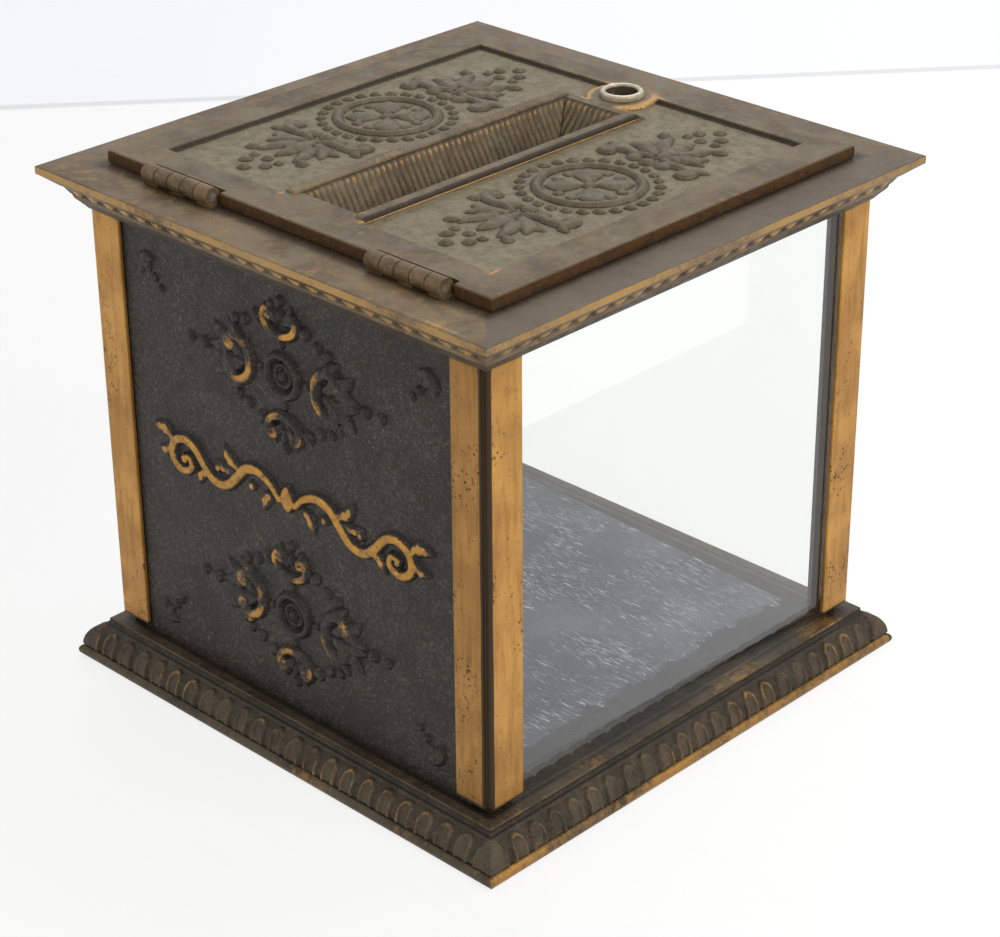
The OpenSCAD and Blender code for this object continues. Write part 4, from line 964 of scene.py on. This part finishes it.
def panel_flourish(r, centre, h):
    """Symmetrical running scroll: a lozenge, and on each side a waving vine with leaves that ends in a tight curl."""
    r.place(centre, (1, 1), (-1, 1))
    wave = bent((3, -1.2), (6.4, 2.2), (11.6, 4.2), (16.6, 3.0), (20.4, -1.0), (24.6, -4.6), (29.4, -5.0),
                (33.6, -1.8), (37.4, 2.2), (42.2, 3.3), (46.4, 0.8), (46.6, -3.8), (43.0, -6.4), (39.0, -4.6),
                (39.6, -1.8), (42.4, -2.2))
    r.stroke(wave, np.interp(np.linspace(0, 1, len(wave)), (0, 0.15, 0.8, 1), (2.0, 3.6, 3.1, 1.8)), h)
    r.bead((41.8, -3.0), 2.6, h)
    r.leaf((5.5, -0.6), (9.8, -7.2), 4.0, h * 0.85, 0.16, 3)
    r.leaf((18.2, 1.8), (25.6, 7.8), 4.2, h * 0.85, -0.16, 4)
    r.leaf((21.2, 0.4), (29.2, 1.6), 3.2, h * 0.8, -0.14, 3)
    r.leaf((31.8, -3.4), (36.8, -8.8), 3.8, h * 0.85, 0.16, 3)
    r.leaf((45.8, 1.6), (55.0, 3.8), 4.4, h * 0.9, 0.14, 4)
    r.leaf((46.6, -0.8), (53.6, -2.8), 3.4, h * 0.85, -0.12, 3)
    r.bead((14.2, -1.2), 3.0, h * 0.8).bead((28.0, -0.6), 2.8, h * 0.8)
    r.leaf((0.1, -4.2), (0.1, 4.2), 6.0, h, 0, 0, 0.5)


class RECEIPTBOX_OT_panel(bpy.types.Operator):
    """Makes the blackened front panel with its pebbled ground, two medallions, corner sprays and gilt running scroll"""
    bl_idname = "receipt_box.panel"
    bl_label = "Front Panel"

    def execute(self, context):
        h = context.scene.receipt_box_sizes.panel_relief / MM
        fine = 0.3
        origin = (0, PANEL_Y, BASE_H)
        upper, gilt = Relief((-60, 2), (60, 127), fine), Relief((-60, 2), (60, 127), fine)
        for level in (101.8, 30.5):
            panel_medallion(upper, (0, level), h)
            gilt_scrolls(gilt, (0, level), h)
        for level, up in ((4.8, 1), (123.2, -1)):
            for side in (-1, 1):
                upper.place((side * 59.2, level), (-side, up))
                for angle in (-2, 45, 92):
                    way = np.array([math.cos(math.radians(angle)), math.sin(math.radians(angle))])
                    upper.leaf(np.array([3.6, 3.6]) - way * 0.6, np.array([3.6, 3.6]) + way * 5.6, 3.4, h * 0.75, 0, 2)
                for far, size in ((10.4, 2.6), (13.6, 2.2)):
                    upper.bead((far * 0.75 + 1, far * 0.75 + 1), size, h * 0.75)
        upper.h = softened(upper.h, 1)
        scroll = Relief((-58, 54), (58, 78), fine)
        panel_flourish(scroll, (0, 66), h)
        scroll.h = softened(scroll.h, 1)
        for name, relief in (("panel_medallions", upper), ("panel_scroll", scroll)):
            points, faces, marks = patch(relief, on_front, origin)
            if relief is scroll:
                crest = step_up(relief.h / h, 0.35, 0.7)
            else:
                patchy = wander(gilt.u[:, None], gilt.v[None, :], seed=4, scale=0.5)
                crest = step_up(gilt.h / h, 0.45, 0.85) * (0.8 + 0.35 * patchy)
            marks["wear"] = np.maximum(marks["wear"] * 0.5, two_sides(crest))
            build(name, points, faces, "box", "panel_bronze", ["front_panel"], marks)
        us, vs = lines(-PANEL_HALF - 2.7, PANEL_HALF + 2.7, 1.0), lines(-2, 130.7, 1.0)
        u, v = np.broadcast_arrays(us[:, None], vs[None, :])
        close = upper.blurred(10).read(u, v) + scroll.blurred(10).read(u, v)
        points, faces = slab(us, vs, 0.03 * wander(u, v, seed=5, scale=0.3), np.full(u.shape, -2.3))
        # Darker near the ornament and towards the panel's edges by the posts and base: dirt and painted shade.
        rim = 1 - step_up(np.minimum(np.minimum(PANEL_HALF - np.abs(u), v), 128 - v), 0, 3.5)
        grime = np.clip(close / h * 1.2 + rim * 0.5, 0, 1).ravel()
        points = on_front(points, origin)
        build("panel_ground", points, faces, "box", "panel_bronze", ["front_panel"],
              {"wear": 0 * np.tile(grime, 2), "grime": np.tile(grime, 2)})
        return {"FINISHED"}


class RECEIPTBOX_OT_panes(bpy.types.Operator):
    """Gives the three panes their glass, and the loose sheet on the floor its scratched grey"""
    bl_idname = "receipt_box.panes"
    bl_label = "Glass and Floor Plate"

    def execute(self, context):
        dress("pane_glass", "glass_right", "glass_back", "glass_left")
        dress("zinc_plate", "floor_plate")
        return {"FINISHED"}


class RECEIPTBOX_OT_cornice(bpy.types.Operator):
    """Makes the top frame: the band of leaning dentils, the soffit, the bright edge and the flat plate"""
    bl_idname = "receipt_box.cornice"
    bl_label = "Top Frame"

    def execute(self, context):
        depth = context.scene.receipt_box_sizes.dentil_depth / MM
        b, e = BODY_HALF, EDGE_HALF
        key = np.array([(PLATE_HALF, 0.0), (72, 0), (b, 0), (b + 0.4, 0.02), (b + 1.8, 1.7), (b + 2.9, 2.9),
                        (b + 3.1, 3.25), (b + 3.3, 3.9), (b + 3.4, 4.2), (b + 3.65, 4.35), (b + 3.8, 4.55),
                        (b + 4.3, 5.3), (b + 4.8, 6.1), (b + 5.0, 6.35), (b + 5.2, 6.5), (b + 5.8, 6.8),
                        (e - 2.4, 8.25), (e - 0.5, 9.75), (e - 0.15, 9.95), (e, 10.2), (e, 10.9), (e, 11.6),
                        (e, 12.0), (e - 0.12, 12.22), (e - 0.35, 12.3), (e - 1.0, 12.3), (e - 1.7, 12.3),
                        (e - 2.6, 12.3), (e - 4, 12.3), (e - 7.5, 12.3), (72.16, 12.3), (72.13, 12.3), (71, 12.3),
                        (PLATE_HALF, 12.3), (PLATE_HALF, 6)])
        outline = key + np.array([0, POST_TOP])

        def relief(side, along, half, height):
            """Dentils over a plain strip: gaps cut square into the band, leaning sideways with height. A slow swell of
            the wear goes by the place in the plan, so that it runs on round the mitres."""
            level = height - POST_TOP
            lean = (1 if side % 2 == 0 else -1) * (DENTIL_LEAN + 0.6 * (1 - 2 * np.clip((level - 4.3) / 2.2, 0, 1)))
            s = (along - lean + DENTIL_PITCH / 2) % DENTIL_PITCH - DENTIL_PITCH / 2
            band = (half > b + 3.5) & (level > 4.3) & (level < 6.45) & (np.abs(along) < 76.5)
            gap = step_up(1.7 - np.abs(s), 0, 0.35)
            tip = 0.3 * np.clip(1 - ((s - DENTIL_PITCH / 2 + DENTIL_PITCH * (s < 0)) / 1.7) ** 2, 0, 1)
            push = band * (-depth * gap + tip * (1 - gap))
            rub = self.drift(side, along, half)
            # Painted highlight: the fronts of the teeth are lightened, more on some sides than on others.
            bright = (0.95, 0.75, 0.6, 0.8)[side]
            wear = band * (1 - gap) * (0.3 + bright * step_up(level, 4.5, 5.6)) + 0.22 * rub
            wear = wear + (level > 10.0) * (level < 12.1) * (half > e - 0.05) * 0.9
            # A pale line on the top a little in from the edge, stronger on some sides: wear and painted highlight.
            line = np.exp(-((half - e + 1.35) / 0.55) ** 2) * (0.75, 0.3, 0.3, 0.55)[side]
            wear = wear + (level > 12.2) * (line + 0.2 * step_up(half, e - 0.9, e - 0.3))
            tan_end = 0.35 * np.exp(-((along - 62) / 16) ** 2) * step_up(half, 73, 80)
            wear = wear + (level > 12.2) * (side == 0) * tan_end
            # Dark in the dentil gaps, below the band and on the soffit: painted shade under the overhang, with some
            # dirt. The top darkens towards its inner edge: painted shadow of the lid.
            grime = band * gap * 1.3 + (level < 3.2) * (level > 0.01) * 0.75 + (level > 6.4) * (level < 9.8) * 0.35
            grime = grime + (level > 12.1) * (level < 12.25) * 0.5 + (level > 12.15) * step_up(75.5 - half, 0, 4) * 0.8
            # Painted shade: the edge and the top take a darker tone on some sides than on others.
            dim = (level > 9.5) * (0.0, 1.1, 0.5, 0.2)[side]
            return push, {"wear": wear, "grime": np.clip(grime, 0, 1.3), "dim": dim}

        tooth = np.array([-3.3, -2.6, -1.75, -1.35, -0.6, 0.2, 0.9, 1.35, 1.75, 2.6])
        spots = np.concatenate([i * DENTIL_PITCH + lean + tooth
                                for i in range(-12, 13) for lean in (-DENTIL_LEAN, DENTIL_LEAN)])
        hinge = hinge_sides(LEAF_HALF - 0.01, LEAF_HALF + 0.01)
        middles = np.unique(np.round(np.concatenate([spots[np.abs(spots) < 76.4], hinge, [-76.5, 76.5]]), 3))
        points, faces, marks = square_ring(outline, middles, 76.5, np.array([0.3, 0.6, 0.85, 1.0]), relief, 76.55)
        leaf = at_hinge(points[:, 0], points[:, 1], LEAF_HALF, -69.3)
        leaf &= (points[:, 1] > -72.15) & (points[:, 2] > TOP_Z - 0.1)
        points[leaf, 2] -= LEAF_DEPTH
        build("cornice_moulding", points, faces, "box", "frame_patina", ["top_frame"], marks, 30)

        xs = lines(-PLATE_HALF, PLATE_HALF, 3, *cuts(-HOLE[0], HOLE[0], -BOSS_IN, BOSS_IN, *hinge_sides(LEAF_HALF)))
        ys = lines(-PLATE_HALF, PLATE_HALF, 3, *cuts(HOLE[1], HOLE[2], LEAF_BACK, BOSS_IN, -BOSS_IN))
        x, y = np.broadcast_arrays(xs[:, None], ys[None, :])
        leaf = at_hinge(x, y, LEAF_HALF + 0.01, LEAF_BACK + 0.01)
        top = np.where(leaf, TOP_Z - LEAF_DEPTH, TOP_Z)
        boss = (np.abs(x) > BOSS_IN - 0.01) & (np.abs(y) > BOSS_IN - 0.01)
        bottom = np.where(boss, POST_TOP + 0.1, TOP_Z - 3)
        cx, cy = (xs[:-1] + xs[1:]) / 2, (ys[:-1] + ys[1:]) / 2
        keep = ~((np.abs(cx)[:, None] < HOLE[0]) & (cy[None, :] > HOLE[1]) & (cy[None, :] < HOLE[2]))
        points, faces = slab(xs, ys, top, bottom, keep)
        build("top_plate", points, faces, "box", "frame_patina",
              marks={"wear": np.zeros(len(points)), "grime": np.full(len(points), 0.8)})
        return {"FINISHED"}

    def drift(self, side, along, half):
        """Seeded unevenness by the place in the plan of a point on one side of the square."""
        turn = math.pi / 2 * side
        return wander(along * math.cos(turn) + half * math.sin(turn), along * math.sin(turn) - half * math.cos(turn),
                      seed=7, scale=0.11)


def lid_spray(r, h):
    """Spray at one end of a lid medallion, along v: scrolled volutes, spreading leaves and a palmette with berries."""
    r.bead((0, 22.6), (4.6, 4.2), h * 0.95)
    r.bead((5.0, 23.2), (4.6, 4.0), h * 0.9, 20)
    volute = bent((2.6, 26.4), (6.0, 25.2), (9.8, 25.4), (13.2, 24.8), (15.2, 22.6), (14.0, 20.6), (12.0, 21.2),
                  (12.6, 22.8))
    r.stroke(volute, np.interp(np.linspace(0, 1, 98), (0, 0.4, 1), (2.2, 3.4, 1.8)), h, 0.12)
    r.bead((13.2, 22.3), 3.0, h)
    r.leaf((13.4, 24.6), (17.6, 27.4), 2.8, h * 0.85, 0.1, 2)
    r.leaf((2.2, 27.6), (13.0, 30.4), 4.6, h * 0.95, 0.16, 4)
    r.leaf((1.6, 28.4), (10.8, 35.4), 4.8, h * 0.95, -0.14, 4)
    r.leaf((1.2, 30.4), (7.0, 41.4), 4.4, h * 0.95, -0.12, 4)
    r.leaf((0, 25.6), (0, 41.6), 5.2, h, 0, 5, 0.55)
    r.bead((9.8, 40.8), (3.9, 3.0), h * 0.95, 35).bead((4.9, 44.6), 2.4, h * 0.85)
    r.bead((3.9, 48.4), (3.6, 2.9), h * 0.95, 55).bead((0, 44.4), 2.9, h * 0.9).bead((0, 52.6), 3.3, h)


def lid_medallion(r, h):
    """Ring with a four-petalled rosette, a circle of tilted beads, and a spray at each end."""
    r.stroke(arc((0, 0), 13.9, 13.9, 0, 360, 72), 2.5, h)
    for angle in (45, 135, 225, 315):
        way = np.array([math.cos(math.radians(angle)), math.sin(math.radians(angle))])
        r.leaf(way * 1.2, way * 11.6, 7.6, h * 0.85, 0, 4, 0.6)
    for angle in range(0, 360, 90):
        for off in (-13, 13):
            a = math.radians(angle + off)
            r.bead((9.6 * math.cos(a), 9.6 * math.sin(a)), 2.7, h * 0.7, cup=0.5)
    r.bead((0, 0), 3.8, h, cup=0.45)
    for k in range(27):
        a = 2 * math.pi * k / 27
        r.bead((18.4 * math.cos(a), 18.4 * math.sin(a)), (2.9, 2.2), h * 0.9, math.degrees(a) + 60)


class RECEIPTBOX_OT_lid(bpy.types.Operator):
    """Makes the lid: its casting with two sunk fields, the cast ornament in them, the ribbed trough and its bars"""
    bl_idname = "receipt_box.lid"
    bl_label = "Lid"

    def execute(self, context):
        sizes = context.scene.receipt_box_sizes
        h = sizes.ornament_height / MM
        half = ((FIELD_OUT - FIELD_IN) / 2, (FIELD_BACK - FIELD_FRONT) / 2)
        relief = Relief((-half[0], -half[1]), half, 0.32)
        lid_medallion(relief, h)
        relief.place((0, 0), *FOUR_WAYS)
        lid_spray(relief, h)
        relief.h = softened(relief.h, 1)
        for side, name in ((-1, "lid_ornament_left"), (1, "lid_ornament_right")):
            points, faces, marks = patch(relief, on_top, (side * FIELD_MID[0], FIELD_MID[1], FIELD_Z))
            marks["wear"] = marks["wear"] * 0.5
            marks["grime"] = marks["grime"] * 0.75 + 0.08
            marks["raised"] = 0 * marks["wear"] + 1
            build(name, points, faces, "lid_body", "lid_patina", ["lid"], marks)

        xs = lines(-LID_X, LID_X, 1.1, *[(s * x, reach, 0.15) for s in (-1, 1)
                                         for x, reach in ((LID_X, 1.0), (FIELD_OUT, 0.75), (FIELD_IN, 0.75))],
                   (0, 14, 0.5), *cuts(-TROUGH_RIM[0], TROUGH_RIM[0], *hinge_sides(LEAF_HALF, BARREL_HALF)))
        ys = lines(-LID_Y, LID_Y, 1.1, (-LID_Y, 1.0, 0.15), (LID_Y, 1.0, 0.15), (FIELD_FRONT, 0.75, 0.15),
                   (FIELD_BACK, 0.75, 0.15), (LOCK_Y, 10.5, 0.5),
                   *cuts(TROUGH_Y - TROUGH_RIM[1], TROUGH_Y + TROUGH_RIM[1], BARREL_BACK, LEAF_BACK))
        x, y = np.broadcast_arrays(xs[:, None], ys[None, :])
        edge = np.minimum(LID_X - np.abs(x), LID_Y - np.abs(y))
        lock = np.hypot(x, y - LOCK_Y)
        inner = np.maximum(np.abs(x) - FIELD_IN, np.minimum(np.abs(x) - 6.2, y - WIDE_Y))
        field = np.minimum(np.minimum(inner, FIELD_OUT - np.abs(x)),
                           np.minimum(np.minimum(y - FIELD_FRONT, FIELD_BACK - y), lock - LOCK_CLEAR))
        top = LID_TOP - 0.4 * (1 - np.clip(edge / 0.8, 0, 1)) ** 2 - 1.3 * step_up(field, -0.5, 0.45)
        off_middle = np.where(x < 0, x + FIELD_MID[0], x - FIELD_MID[0])
        close = relief.blurred(10).read(off_middle, y - FIELD_MID[1]) * (field > 0)
        leaf = at_hinge(x, y, LEAF_HALF + 0.01, LEAF_BACK + 0.01)
        bottom = np.where(leaf, LID_Z + 1.05, LID_Z)
        cx, cy = ((xs[:-1] + xs[1:]) / 2)[:, None], ((ys[:-1] + ys[1:]) / 2)[None, :]
        keep = ~((np.abs(cx) < TROUGH_RIM[0]) & (np.abs(cy - TROUGH_Y) < TROUGH_RIM[1]))
        keep &= ~at_hinge(cx, cy, BARREL_HALF, BARREL_BACK)
        keep &= np.hypot(cx, cy - LOCK_Y) > 5.3
        points, faces = slab(xs, ys, top, bottom, keep)
        drift = wander(x, y, seed=11, scale=0.12)
        # Painted shade: the walls at the back of both fields and at the outer side of the left field are marked as
        # lying in shadow.
        shadowed = np.maximum(np.exp(-((FIELD_BACK - y) / 1.2) ** 2) * (np.abs(x) > 9) * (y < FIELD_BACK + 0.7),
                              np.exp(-((FIELD_OUT + x) / 1.2) ** 2) * (np.abs(y - FIELD_MID[1]) < 59.5))
        # Pale band round the field edges, left off where shade is painted: wear and painted highlight.
        rim = np.exp(-(np.minimum(field, 0) / 1.9) ** 2) * (field < 0.1) * (1 - shadowed)
        wear = 0.62 * rim + 0.22 * np.exp(-((edge - 0.5) / 0.7) ** 2) + 0.16 * drift * (field < 0)
        # Painted highlight: pale lines along the mitres of the flat border.
        mitre = np.exp(-((LID_X - np.abs(x)) - (LID_Y - np.abs(y))) ** 2 / 14) * (edge < 11) * (field < 0)
        wear = wear + 0.3 * mitre + 0.55 * np.exp(-((lock - 9) / 4.5) ** 2) * (field < 0)
        wear = wear + 0.42 * (field < 0) * (np.abs(x) < 15.5) * (y < TROUGH_Y + 50)
        # Painted shade inside the fields along their walls, with a darker ring round the ornament, darkens the lid's
        # ground.
        shade = (field > -0.3) * (0.85 * shadowed + 0.5 * np.exp(-(np.maximum(field, 0.1) / 0.7))) * (field < 2.5)
        halo = np.clip(close / h * 2.2, 0, 1)
        low_field = (field > 0.2).astype(float)
        marks = {"wear": two_sides(wear, 0.05), "grime": np.clip(two_sides(shade + 0.42 * halo, 0.75), 0, 1),
                 "ground": two_sides(low_field), "halo": two_sides(halo * low_field),
                 "sides": np.tile(step_up(0.35 - edge, 0, 0.2).ravel(), 2)}
        build("lid_casting", points, faces, "lid_body", "lid_patina", ["lid"], marks)
        self.trough(sizes.rib_height / MM)
        self.bars()
        return {"FINISHED"}

    def trough(self, rib):
        """Tapered hopper: each outline point is a rectangle, its half sizes running from the rim to the slot and back
        up outside. On the inner walls each point moves inwards by a rounded rib, a wave of the place along the wall."""
        t = np.linspace(0, 1, 20)
        a = TROUGH_RIM[0] + (TROUGH_SLOT[0] - TROUGH_RIM[0]) * t
        b = TROUGH_RIM[1] + (TROUGH_SLOT[1] - TROUGH_RIM[1]) * t
        z = LID_TOP - 0.05 - TROUGH_H * t
        a = np.concatenate([a, [TROUGH_SLOT[0] + 1.6, TROUGH_RIM[0] + 1.0, TROUGH_RIM[0] + 1.2]])
        b = np.concatenate([b, [TROUGH_SLOT[1] + 1.6, TROUGH_RIM[1] + 1.0, TROUGH_RIM[1] + 1.2]])
        z = np.concatenate([z, [LID_TOP - TROUGH_H - 0.05, LID_TOP - 1.6, LID_TOP - 0.2]])
        inner = np.concatenate([step_up(t, 0.0, 0.05) * step_up(1 - t, 0, 0.04), np.zeros(3)])
        points, marks = [], []
        for side in range(4):
            long_way = side % 2 == 1
            run, reach = (b, a) if long_way else (a, b)
            count = 300 if long_way else 66
            s = np.linspace(-1, 1, count, endpoint=False)[:, None] * run[None, :]
            wave = (0.5 + 0.5 * np.cos(2 * math.pi * s / RIB_PITCH)) ** 0.7
            fade = step_up(run[None, :] - np.abs(s), 0, 0.6)
            out = reach[None, :] - rib * wave * fade * inner[None, :]
            turn = math.pi / 2 * side
            px = s * math.cos(turn) + out * math.sin(turn)
            py = s * math.sin(turn) - out * math.cos(turn)
            points.append(np.stack(np.broadcast_arrays(px, py + TROUGH_Y, z[None, :]), -1).reshape(-1, 3))
            # Rib crests lighten towards the rim, far more on the +Y and -X walls: wear and painted highlight. Between
            # the ribs, deeper down and on the outer faces the trough darkens: dirt and painted shade.
            high = step_up(z - (LID_TOP - 5.5), 0, 5.5)[None, :]
            bright = 0.95 if side in (2, 3) else 0.4
            marks.append(np.stack([(wave * inner * (0.3 + 0.7 * high ** 2) * bright + 0.1).ravel(),
                                   ((1 - wave) * 0.55 * inner + 0.2 * (1 - high) + 0.9 * (inner == 0)).ravel()], -1))
        marks = np.concatenate(marks)
        total = sum(len(p) for p in points) // len(z)
        build("lid_trough", np.concatenate(points), [grid_faces(total, len(z), True, True)], "lid_body", "lid_patina",
              ["lid"], {"wear": marks[:, 0], "grime": np.clip(marks[:, 1], 0, 1)}, 60)

    def bars(self):
        """Raised rims beside the trough: a flat strip with a soft inner edge and a rounded outer side that falls away
        to the sunk field along a root curve, as both ends do."""
        low, high = TROUGH_Y - 52.25, TROUGH_Y + 52.25
        for side, name in ((-1, "trough_bar_left"), (1, "trough_bar_right")):
            us, vs = np.linspace(-2.2, 2.2, 19), lines(low, high, 1.5, (low, 2.5, 0.25), (high, 2.5, 0.25))
            u, v = np.broadcast_arrays(us[:, None], vs[None, :])
            end = 1 - np.clip(np.minimum(v - low, high - v) / 2.2, 0, 1)
            across = np.where(side * u > 0.6, (side * u - 0.6) / 1.6, (0.6 - side * u) / 2.9)
            crown = np.sqrt(np.clip(1 - across ** 4 - end ** 2, 0, 1))
            crown = np.where(side * u > 0.6, np.sqrt(np.clip(1 - across ** 2 - end ** 2, 0, 1)), crown)
            points, faces = slab(us, vs, crown * 0.95 - 0.02, np.full(u.shape, -0.3))
            wear = 0.55 * (side * u < 0.3) + 0.2 * wander(u, v, seed=13, scale=0.2)
            # Painted shade on the rounded outer side, strongest on the right bar.
            grime = step_up(side * u, 0.5, 1.6) * (0.95 if side == 1 else 0.5)
            marks = {"wear": np.tile(wear.ravel(), 2), "grime": np.tile(grime.ravel(), 2)}
            build(name, on_top(points, (side * 13.1, 0, LID_TOP)), faces, "lid_body", "lid_patina", ["lid"], marks)


class RECEIPTBOX_OT_hinges(bpy.types.Operator):
    """Gives the two hinges, their pins and their screws their bronze and steel"""
    bl_idname = "receipt_box.hinges"
    bl_label = "Hinges"

    def execute(self, context):
        dress("hinge_brass", *[f"hinge_{part}_leaf_{side}" for part in ("frame", "lid") for side in ("left", "right")])
        dress("steel_bright", "hinge_pin_left", "hinge_pin_right", "hinge_frame_screws", "hinge_lid_screws")
        return {"FINISHED"}


class RECEIPTBOX_OT_lock(bpy.types.Operator):
    """Makes the bright lock ring with its housing, and dresses the plug, cam, nut and keeper"""
    bl_idname = "receipt_box.lock"
    bl_label = "Lock"

    def execute(self, context):
        low, high = [c[2] for c in corners("lock_housing")]
        outline = rounded([(2.65, low), (5.4, low), (5.4, LID_TOP - 0.1), (6.25, LID_TOP - 0.05), (6.2, high - 0.5),
                           (5.6, high), (5.0, high), (4.45, high - 0.7), (4.45, low + 1.2), (2.65, low + 1.2)],
                          [0.2, 0.2, 0.1, 0.2, 0.5, 0.4, 0.4, 0.3, 0.2, 0.2], 5)
        points, faces = turned(outline, (0, LOCK_Y))
        radius = np.hypot(points[:, 0], points[:, 1] - LOCK_Y)
        # Dark inside the ring's hole and where the ring meets the lid: painted shade, with some dirt.
        grime = step_up(4.7 - radius, 0, 0.25) * 0.9 + step_up(LID_TOP + 0.4 - points[:, 2], 0, 0.5) * 0.8
        build("lock_ring", points, faces, "lid_body", "lock_nickel", ["lock_housing"],
              {"wear": step_up(points[:, 2], high - 0.9, high - 0.2), "grime": np.clip(grime, 0, 1)})
        dress("lock_nickel", "lock_plug")
        dress("steel_bright", "lock_nut", "lock_cam", "cam_screw", "lock_keeper", "keeper_screws")
        return {"FINISHED"}


class RECEIPTBOX_OT_fasteners(bpy.types.Operator):
    """Gives the tie rods and their nuts their dull steel"""
    bl_idname = "receipt_box.fasteners"
    bl_label = "Tie Rods and Nuts"

    def execute(self, context):
        dress("steel_bright", "tie_rods", "tie_rod_nuts")
        return {"FINISHED"}


PIECES = (RECEIPTBOX_OT_stage, RECEIPTBOX_OT_base, RECEIPTBOX_OT_posts, RECEIPTBOX_OT_panel, RECEIPTBOX_OT_panes,
          RECEIPTBOX_OT_cornice, RECEIPTBOX_OT_lid, RECEIPTBOX_OT_hinges, RECEIPTBOX_OT_lock, RECEIPTBOX_OT_fasteners)


class RECEIPTBOX_PT_panel(bpy.types.Panel):
    """Lists the sizes, the colours and the pieces of the receipt box"""
    bl_idname = "RECEIPTBOX_PT_panel"
    bl_label = "Receipt Box"
    bl_space_type = "VIEW_3D"
    bl_region_type = "UI"
    bl_category = "Receipt Box"

    def draw(self, context):
        for group in (context.scene.receipt_box_sizes, context.scene.receipt_box_looks):
            column = self.layout.column(align=True)
            for key in group.__annotations__:
                column.prop(group, key)
        column = self.layout.column(align=True)
        for piece in PIECES:
            column.operator(piece.bl_idname)


CLASSES = (ReceiptBoxSizes, ReceiptBoxLooks, *PIECES, RECEIPTBOX_PT_panel)


def register():
    for cls in CLASSES:
        bpy.utils.register_class(cls)
    bpy.types.Scene.receipt_box_sizes = bpy.props.PointerProperty(type=ReceiptBoxSizes)
    bpy.types.Scene.receipt_box_looks = bpy.props.PointerProperty(type=ReceiptBoxLooks)


def unregister():
    del bpy.types.Scene.receipt_box_looks
    del bpy.types.Scene.receipt_box_sizes
    for cls in reversed(CLASSES):
        bpy.utils.unregister_class(cls)


def main():
    register()
    for piece in PIECES:
        group, name = piece.bl_idname.split(".")
        result = getattr(getattr(bpy.ops, group), name)()
        if result != {"FINISHED"}:
            raise RuntimeError(f"{piece.bl_label} was not made")


if __name__ == "__main__":
    main()
